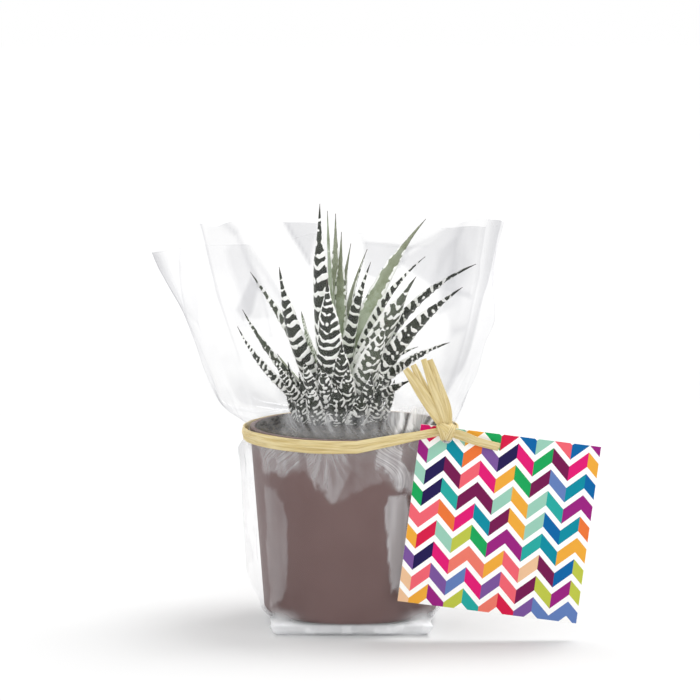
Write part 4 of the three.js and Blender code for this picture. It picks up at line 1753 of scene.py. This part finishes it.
    def panel_marks(self, forms: SheetForms) -> tuple[np.ndarray, np.ndarray, np.ndarray]:
        """What the long folds and the listed patches of the four panels give.

        A fold fades towards both corners of its panel, as the root of the sine across it. A
        patch is as strong as its region says, and noise makes its milkiness uneven. The shade is
        painted shade, and the milkiness stands in for painted reflections.

        Args:
            forms: The smooth sheet.

        Returns:
            The lift in metres, the painted shade and the milkiness with its painted reflections, at each
            point.
        """
        x, y = forms.points[..., 0] / MM, forms.points[..., 1] / MM
        inside = np.sin(pi * forms.share) ** 0.5
        veil = 1 + 1.3 * forms.noise(Seed.PANEL_VEIL, 8.0, 1.6)
        lift, shade, milk = (np.zeros(forms.share.shape) for _ in range(3))
        for panel, across, folds, regions in (
            (Panel.FRONT, x, FRONT_FOLDS, FRONT_REGIONS),
            (Panel.BACK, -x, BACK_FOLDS, BACK_REGIONS),
            (Panel.RIGHT, y, SIDE_FOLDS, ()),
            (Panel.LEFT, y, SIDE_FOLDS, LEFT_REGIONS),
        ):
            here = forms.panel == panel
            fold_lift, fold_shade = self.folds(across, forms.height, folds)
            lift += fold_lift * (here * inside)
            shade = np.maximum(shade, fold_shade * (here * inside))
            for region in regions:
                over = region.over(across, forms.height) * here
                shade += region.shade * over
                milk += region.milk * over * veil
        return lift, shade, milk

    def relief(self, forms: SheetForms) -> np.ndarray:
        """How far the wrinkles stand out from the smooth sheet.

        Gathers spread from the tie, facets grow towards the mouth, small crumples lie near the
        tie, ripples run down where the film hugs the pot, a slack fold stands off the pot at the
        left, and the folded base is dented.

        Args:
            forms: The smooth sheet and its forms.

        Returns:
            The lift of each point, in millimetres.
        """
        height, above, fine = forms.height, forms.above, forms.fine
        pleat = np.abs(zigzag(self.gathers * forms.number + 0.9 * forms.warp)) - 0.5
        small = crumple(forms.points, 5.5 * MM, Seed.FILM_CRUMPLES)
        small = small * (0.3 * bell(above - 9, 15) + 0.1 * eased(above, 5, 30))
        ripples = np.maximum(forms.noise(Seed.FILM_RIPPLES, 1.6, 0.6), 0)
        hugging = eased(height, 5, 9) * (1 - eased(height, 40, 48))
        lift = 0.9 * pleat * forms.upper * forms.calm + 0.4 * np.maximum(pleat, 0) * forms.lower
        near_tie = 0.22 * fine * forms.at_tie + 0.12 * fine * forms.upper
        lift += near_tie + 0.1 * np.maximum(fine, 0) * forms.lower
        lift += 1.25 * forms.facets + 0.7 * small
        lift += 0.14 * ripples * hugging
        lift += (self.slack_lift + 0.5 * forms.warp) * forms.slack
        lift += 0.35 * forms.dents * forms.based * eased(height, 0.05, 0.8)
        return lift

    def painted_pot_highlights(self, forms: SheetForms) -> np.ndarray:
        """The fan of painted highlights below the tie, milky streaks and patches, repeated round the pot.

        Args:
            forms: The smooth sheet.

        Returns:
            The milkiness of the painted highlights at each point.
        """
        wedge = TURN / self.fans
        across = (forms.azimuth - self.fan_centre + wedge / 2) % wedge - wedge / 2
        ragged = 0.7 * forms.noise(Seed.HIGHLIGHT_EDGE, 3.2, 5.0)
        ragged += 0.5 * forms.noise(Seed.HIGHLIGHT_FRINGE, 9.0, 9.0)
        streaky = 1 + 0.35 * forms.noise(Seed.HIGHLIGHT_STREAKS, 7.0, 1.2)
        highlights = np.zeros(forms.share.shape)
        for region in POT_HIGHLIGHT_REGIONS:
            over = region.over(across * self.neck_radius + ragged, forms.height + 1.3 * ragged)
            highlights += region.milk * over * streaky * (forms.above < 0.5)
        return highlights

    def shaded(self, forms: SheetForms, shade: np.ndarray, from_corner: np.ndarray) -> np.ndarray:
        """How grey the film is.

        All of this grey is painted shade. The creases down the corners and the marks of the panels
        take the greater of the two, and facets, wrinkles just over the tie and the top of the slack fold
        add to it.

        Args:
            forms: The smooth sheet and its forms.
            shade: Shade of the folds and patches.
            from_corner: Distance from the nearest corner, in millimetres.

        Returns:
            The shade at each point, from 0 to 1.
        """
        above = forms.above
        table = np.array([(line.width, line.shade, line.start, line.full) for line in self.corner_lines])
        nearest = (forms.panel + (forms.share > 0.5)) % len(Panel)
        width, dark, start, full = np.moveaxis(table[nearest], -1, 0)
        # Painted shade down the creases at the corners.
        crease = dark * bell(from_corner, width) * eased(above, start, full)
        # Painted shade of the wrinkles just over the tie.
        wrinkle_shade = eased(forms.noise(Seed.WRINKLE_SHADE_AND_RIBS, 1.8, 3.2), -0.1, 0.35)
        wrinkle_shade = wrinkle_shade * bell(np.maximum(above - 7, 0), 9) * eased(above, 0, 3)
        shade = np.maximum(shade, crease) + 0.05 * forms.facets + 0.15 * wrinkle_shade * forms.calm
        shade = shade + 0.1 * forms.slack * eased(forms.height, 34, 50)
        return np.clip(shade, 0, 1)

    def milk_and_sheen_values(self, forms: SheetForms, milk: np.ndarray, from_corner: np.ndarray) -> np.ndarray:
        """How milky the film is.

        Milkiness here is partly painted highlight. The slack fold is clearer. The folded base is nearly
        white, with painted highlights most of all on its dents and corners, and its corners stay milky a
        little higher. The lip of the mouth, the gathers and the tie are faintly milky.

        Args:
            forms: The smooth sheet and its forms.
            milk: Milkiness and painted highlights of the patches and of the fan over the pot.
            from_corner: Distance from the nearest corner, in millimetres.

        Returns:
            The milkiness, with its painted highlights, at each point.
        """
        rows = len(forms.share)
        lip = eased(np.arange(rows)[:, None], rows - 2, rows - 1) * 0.1
        # Painted highlights on the base's dents and corners.
        bright = eased(forms.dents, 0.1, 0.9) + 0.6 * bell(from_corner, 2.5)
        milk = milk * (1 - 0.8 * eased(forms.slack, 0.0, 0.5))
        milk = milk + forms.based * np.clip(0.78 + 0.2 * bright, 0, 0.96) + lip
        over_base = (1 - eased(forms.height, 4.5, 8)) * (1 - forms.based)
        milk = milk + 0.45 * bell(from_corner, 4.5) * over_base
        return milk + 0.04 * forms.upper * eased(np.abs(forms.fine), 0.1, 0.5) + 0.1 * forms.at_tie

    def sheet(self) -> Patch:
        """The wrinkled sheet with its values.

        Relief and folds move the smooth sheet outwards and slow waves move its mouth up and down.
        Streaks follow the way round the moved sheet, as long as the neck's at every height, and
        slant below the tie so that they fan out.

        Returns:
            The surface, open at the mouth.
        """
        forms = SheetForms(self)
        above = forms.above
        fold_lift, shade, milk = self.panel_marks(forms)
        lift = self.relief(forms) * MM + fold_lift
        wavy = zigzag(forms.number * 9 + 0.35 * forms.warp)
        wavy = eased(forms.height, 96, 114) * self.mouth_wave * wavy * MM
        moved = forms.points + forms.outward() * lift[..., None] + UP * wavy[..., None]
        step = np.linalg.norm(np.diff(moved, axis=1, append=moved[:, :1]), axis=-1)
        girth = step.sum(axis=1, keepdims=True)
        around = (np.cumsum(step, axis=1) - step) / girth * TURN * self.neck_radius * MM
        from_corner = np.minimum(forms.share, 1 - forms.share) * girth / 4 / MM
        slant = -1.6 * np.sin(self.fans * (forms.azimuth - self.fan_centre))
        slant = slant * bell(above + 4, 9) * (1 - eased(above, -1, 3))
        values = {
            "across": around - slant * (forms.height - 50) * MM,
            "along": moved[..., 2],
            "drawn": eased(above, -16, -8) * (1 - eased(above, 5, 16)),
            "shade": self.shaded(forms, shade, from_corner),
            "milk": self.milk_and_sheen_values(forms, milk + self.painted_pot_highlights(forms), from_corner),
        }
        return Patch.from_grid(moved, values, capped=False)

    def base(self) -> Patch:
        """The flat bottom of the bag: rings that shrink from the sheet's first row to the middle.

        Returns:
            The surface.
        """
        edge = self.rings()[0][0]
        size = np.linspace(0.02, 1.0, self.base_rings)[:, None, None]
        flat = edge[None, :, :2] * size
        height = np.broadcast_to(edge[None, :, 2:], (self.base_rings, len(edge), 1))
        return self.plain(np.concatenate([flat, height], axis=-1), capped=False)

    def plain(self, grid: np.ndarray, capped: bool) -> Patch:
        """A stretch of folded film that has no gathers or creases of its own.

        Args:
            grid: Points by row and column.
            capped: Whether its ends are closed.

        Returns:
            The surface, with the same values as the sheet.
        """
        nothing = np.zeros(grid.shape[:2])
        values = {
            "across": grid[..., 0],
            "along": grid[..., 1],
            "drawn": nothing,
            "shade": nothing,
            "milk": nothing + self.folded_milk_and_sheen,
        }
        return Patch.from_grid(grid, values, capped=capped)

    def gusset(self, turn: float) -> Patch:
        """One folded flap of the base: a flat tube of film along a diagonal, under the pot.

        Args:
            turn: Angle of the diagonal.

        Returns:
            The closed surface.
        """
        half, width, middle, rise, ripple = 27, 0.8, 1.8, 1.3, 0.12
        along = np.linspace(-half, half, 60)[:, None] * MM
        around = np.arange(16) / 16 * TURN
        across = width * MM * np.cos(around) + 0 * along
        height = (middle + rise * np.sin(around)) * MM + ripple * MM * np.sin(along / (1.7 * MM))
        x = along * cos(turn) - across * sin(turn)
        y = along * sin(turn) + across * cos(turn)
        return self.plain(np.stack([x, y, height], axis=-1), capped=True)

    def build(self) -> None:
        patches = [self.sheet(), self.base(), self.gusset(pi / 4), self.gusset(-pi / 4)]
        bag = Patch.joined(patches).to_object("bag_film", self.finish.material())
        settle(bag, "film_bag")


# -------------------- raffia


@dataclass(frozen=True)
class Strand:
    """A loose end of raffia, in millimetres: X, Y, Z and width at its knots, and its thickness."""

    knots: tuple[tuple[float, float, float, float], ...]
    thickness: float = 0.5


# Five strands of two broad split ends that stand up, then two that lie across the tag.
LOOSE_ENDS = (
    Strand(
        ((25.6, -28.8, 60, 2.6), (22.9, -28.6, 64, 3.2), (18.9, -28.4, 70, 3.0), (14.9, -28.1, 75.8, 1.9))
    ),
    Strand(
        ((25.9, -28.2, 60, 2.4), (24.0, -28.2, 64, 2.8), (20.3, -28.0, 70, 2.6), (17.0, -27.7, 76.9, 1.6))
    ),
    Strand(
        ((26.2, -28.9, 60, 2.4), (24.9, -28.9, 64.5, 2.8), (22.4, -28.6, 71.0, 2.5), (19.8, -28.2, 78.5, 1.7))
    ),
    Strand(
        ((26.5, -28.4, 60, 2.4), (26.0, -28.3, 65, 2.8), (23.9, -28.1, 71.5, 2.4), (21.5, -27.8, 78.3, 1.5))
    ),
    Strand(
        (
            (26.7, -28.7, 60, 1.8), (26.4, -28.7, 64, 2.0),
            (25.2, -28.5, 68.5, 1.4), (23.4, -28.3, 73.5, 0.4),
        ),
        0.4,
    ),
    Strand(
        (
            (27.4, -28.6, 58.6, 1.9), (30.8, -28.0, 57.5, 2.1),
            (35.6, -27.3, 55.6, 1.9), (40.8, -27.0, 54.4, 1.5),
        ),
    ),
    Strand(
        (
            (27.2, -28.2, 58.0, 1.5), (30.9, -27.7, 56.6, 1.6),
            (35.8, -27.0, 54.9, 1.5), (40.3, -26.9, 53.4, 0.8),
        ),
        0.4,
    ),
)


@dataclass
class RaffiaTie:
    """The raffia: a band round the rim, the knot that closes it and its loose ends.

    All its lengths are in millimetres.
    """

    finish: DryRaffia
    ring_height: float = 54.6
    knot: Point = (26.0, -28.9, 59.0)
    hole: Point = (26.2, -25.85, 56.5)
    end_facing: Point = (0.0, -1.0, 0.0)
    columns: int = 30
    step: float = 0.4

    def ribbon(
        self, path: np.ndarray, width: np.ndarray, thick: float, facing: np.ndarray, seed: int
    ) -> Patch:
        """Carry a flat ribbed section along a path.

        The section is a circle drawn out to the width and pressed to the thickness, each of its
        coordinates raised to a power below one so that it is nearly a rectangle. Noise drawn out
        along the strand ribs it and lets its width breathe.

        Args:
            path: Points of the path in millimetres, shape (rows, 3).
            width: Width at each point, in millimetres.
            thick: Thickness in millimetres.
            facing: The way that the flat side looks at each point, shape (rows, 3).
            seed: Chooses the ribs.

        Returns:
            The closed surface, with its values for across, along and strand.
        """
        forward = unit(np.gradient(path, axis=0))
        out = unit(facing - forward * np.sum(facing * forward, axis=-1, keepdims=True))
        sideways = np.cross(out, forward)
        steps = np.linalg.norm(np.diff(path, axis=0), axis=1)
        along = np.concatenate([[0], np.cumsum(steps)])[:, None]
        angle = np.arange(self.columns) / self.columns * TURN
        wide = np.sign(np.cos(angle)) * np.abs(np.cos(angle)) ** 0.75
        deep = np.sign(np.sin(angle)) * np.abs(np.sin(angle)) ** 0.6
        stretch, edge = wide * width[:, None] / 0.5, seed * 2.3 + 0.6 * np.sign(deep)
        ribs = noise_over(Seed.WRINKLE_SHADE_AND_RIBS, stretch, along / 9, edge)
        breathe = 1 + 0.1 * noise_over(Seed.STRAND_WIDTH, along / 6, seed * 3.1, 0.0)
        across = 0.5 * wide * width[:, None] * breathe
        depth = deep * (0.5 * thick + 0.11 * ribs)
        grid = path[:, None] + sideways[:, None] * across[..., None] + out[:, None] * depth[..., None]
        values = {"across": across * MM, "along": along * MM, "strand": np.array([[seed * 1.7]])}
        return Patch.from_grid(grid * MM, values)

    def free(self, strand: Strand, seed: int) -> Patch:
        """A loose end along its own smooth path.

        Args:
            strand: The end.
            seed: Chooses its ribs.

        Returns:
            The surface.
        """
        table = np.array(strand.knots)
        span = np.linalg.norm(np.diff(table[:, :3], axis=0), axis=1).sum()
        line = smooth_path(table, max(int(span / self.step), 8))
        path, width = line[:, :3], np.maximum(line[:, 3], 0.15)
        facing = np.broadcast_to(self.end_facing, path.shape)
        return self.ribbon(path, width, strand.thickness, facing, seed)

    def band(
        self, rise: float, radius: float, width: float, wander: float, thick: float, seed: int
    ) -> Patch:
        """One strand of the band, from the knot round the pot and back.

        It leaves the ring along the two tangents that meet in the knot, and slow noise lets it
        wander up and down.

        Args:
            rise: Height over the middle of the band, in millimetres.
            radius: Radius of its ring.
            width: Its width.
            wander: How far it strays.
            thick: Its thickness.
            seed: Chooses the wandering.

        Returns:
            The surface.
        """
        knot = np.array(self.knot)
        middle = np.arctan2(knot[1], knot[0])
        spread = np.arccos(radius / np.hypot(knot[0], knot[1]))
        angle = np.linspace(middle + spread, middle - spread + TURN, 420)
        slow = noise_over(Seed.BAND_WANDER, np.cos(angle) * 2.4, np.sin(angle) * 2.4, seed * 1.9)
        height = self.ring_height + rise + wander * slow - 0.3 * (1 + np.sin(angle))
        ring = np.stack([radius * np.cos(angle), radius * np.sin(angle), height], axis=-1)
        first = np.linspace(np.array(self.hole), ring[0], 14)[1:-1]
        through = np.linspace(knot, np.array(self.hole), 8)
        last = np.linspace(ring[-1], knot, 24)[1:]
        path = np.vstack([through, first, ring, last])
        whole = np.ones(len(ring) + len(last))
        at_hole = [np.linspace(0.5, 0.45, len(through)), np.linspace(0.5, 1, len(first))]
        narrow = np.concatenate([*at_hole, whole])
        return self.ribbon(path, width * narrow, thick, path * (1, 1, 0), seed)

    def wrap(self, normal: Point, radius: float, width: float, seed: int, shift: float) -> Patch:
        """One turn of the knot: a strand round a circle that leans as its normal says.

        Args:
            normal: Axis of the circle.
            radius: Radius of the circle.
            width: Width of the strand.
            seed: Chooses its ribs.
            shift: How far the circle is moved along its axis.

        Returns:
            The surface.
        """
        pole = unit(np.array(normal))
        side = unit(np.cross(pole, (0.3, 1.0, 0.2)))
        other = np.cross(pole, side)
        angle = np.linspace(0, TURN * 0.995, 60)[:, None]
        out = np.cos(angle) * side + np.sin(angle) * other
        path = np.array(self.knot) + pole * shift + out * radius * (1, 0.82, 1)
        return self.ribbon(path, np.full(60, width), 0.75, out, seed)

    def build(self) -> None:
        """Make the band, the knot and the ends, one piece as the raffia is one length."""
        patches = [
            self.band(0.7, 30.3, 2.1, 0.25, 0.6, 1),
            self.band(-0.75, 30.25, 2.2, 0.3, 0.6, 2),
            self.band(0.0, 30.6, 1.3, 0.7, 0.4, 3),
        ]
        patches += [
            self.wrap((1.0, 0.1, 0.35), 2.0, 2.6, 4, -0.9),
            self.wrap((1.0, -0.1, -0.5), 2.1, 2.4, 5, 0.9),
            self.wrap((0.35, 0.1, 1.0), 2.0, 2.6, 6, 0.3),
            self.wrap((0.7, 0.2, 0.7), 2.3, 1.6, 7, -0.2),
        ]
        first = len(patches) + 1
        patches += [self.free(strand, first + number) for number, strand in enumerate(LOOSE_ENDS)]
        tie = Patch.joined(patches).to_object("raffia_band_and_knot", self.finish.material())
        settle(tie, "raffia_tie")


# -------------------- tag


class Reach(Enum):
    """What a ring of the card is measured from, out from the middle of the hole."""

    HOLE = "metres past the rim of the hole"
    FACE = "share of the way from the rim of the hole to the edge of the card"
    EDGE = "metres past the edge of the card"


@dataclass
class GiftTag:
    """The square card that hangs on the knot."""

    effects: Effects
    side: float = 49.8 * MM
    card: float = 0.5 * MM
    tilt: float = radians(7.3)
    corner: Point = (19.2 * MM, -25.6 * MM, 60.3 * MM)
    hole_across: float = 7.4 * MM
    hole_down: float = 2.7 * MM
    hole_radius: float = 1.7 * MM
    bevel: float = 0.06 * MM
    print_depth: float = -0.42 * MM
    columns: int = 160

    def rays(self) -> tuple[np.ndarray, np.ndarray]:
        """The rays from the middle of the hole, one for each column.

        They are spread evenly, and the four nearest to the card's corners are turned to them.

        Returns:
            The direction of each ray, and its length up to the edge of the square.
        """
        left, right = -self.hole_across, self.side - self.hole_across
        low, high = self.hole_down - self.side, self.hole_down
        corners = np.arctan2([high, high, low, low], [left, right, right, left])
        angle = np.arange(self.columns) / self.columns * TURN
        nearest = np.abs((angle[None] - corners[:, None] + pi) % TURN - pi).argmin(axis=1)
        angle[nearest] = corners % TURN
        way = np.stack([np.cos(angle), np.sin(angle)], axis=-1)
        ahead = np.array([right, high]) / np.where(way > 0, way, 1)
        behind = np.array([left, low]) / np.where(way < 0, way, -1)
        length = np.where(way > 0, ahead, behind)
        level = np.abs(way) < 1e-9
        return way, np.where(level, np.inf, length).min(axis=1)

    def stops(self) -> tuple[tuple[Reach, float, float], ...]:
        """The card's closed profile, with its edges broken by a small bevel.

        Returns:
            What each ring is measured from, its amount, and its depth behind the back's plane.
        """
        bevel, face = self.bevel, -self.card
        return (
            (Reach.HOLE, 0.0, face + bevel),
            (Reach.HOLE, bevel, face),
            (Reach.FACE, 0.35, face),
            (Reach.FACE, 0.7, face),
            (Reach.EDGE, -bevel, face),
            (Reach.EDGE, 0.0, face + bevel),
            (Reach.EDGE, 0.0, -bevel),
            (Reach.EDGE, -bevel, 0.0),
            (Reach.FACE, 0.5, 0.0),
            (Reach.HOLE, bevel, 0.0),
            (Reach.HOLE, 0.0, -bevel),
        )

    def rings(self) -> np.ndarray:
        """The rings of the card in its own plane, from the face round the edge to the back.

        Returns:
            Across, up and depth of each point, shape (rings, columns, 3); the last ring is the
            first one again.
        """
        way, length = self.rays()
        rings = []
        for reach, amount, depth in self.stops():
            radius = {
                Reach.HOLE: self.hole_radius + amount + 0 * length,
                Reach.FACE: self.hole_radius + amount * (length - self.hole_radius),
                Reach.EDGE: length + amount,
            }[reach]
            rings.append(np.column_stack([way * radius[:, None], np.full(len(way), depth)]))
        return np.stack(rings + rings[:1])

    def build(self) -> None:
        """Turn the rings with the card's tilt, move them to its corner and dress them."""
        local = self.rings()
        across, up = local[..., 0] + self.hole_across, local[..., 1] - self.hole_down
        right = np.array([cos(self.tilt), 0, -sin(self.tilt)])
        above = np.array([sin(self.tilt), 0, cos(self.tilt)])
        grid = np.array(self.corner) + across[..., None] * right + up[..., None] * above
        grid[..., 1] += local[..., 2]
        finish = PrintedCard(self.effects, self.corner, self.tilt, self.print_depth)
        tag = Patch.from_grid(grid, capped=False).to_object("tag_card", finish.material(), crease=30)
        settle(tag, "tag")


# -------------------- assembly


def main() -> None:
    """Build the studio, then the object from the pot outwards."""
    logging.basicConfig(level=logging.INFO, format="%(name)s: %(message)s")
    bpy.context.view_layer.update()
    effects = Effects()
    Studio().build()
    pot = Pot(PotPlastic(effects))
    pot.build()
    Soil(PottingSoil(effects), pot).build()
    Haworthia(LeafSkin(effects)).build()
    FilmBag(ClearFilm(effects), pot).build()
    RaffiaTie(DryRaffia(effects)).build()
    GiftTag(effects).build()


if __name__ == "__main__":
    main()
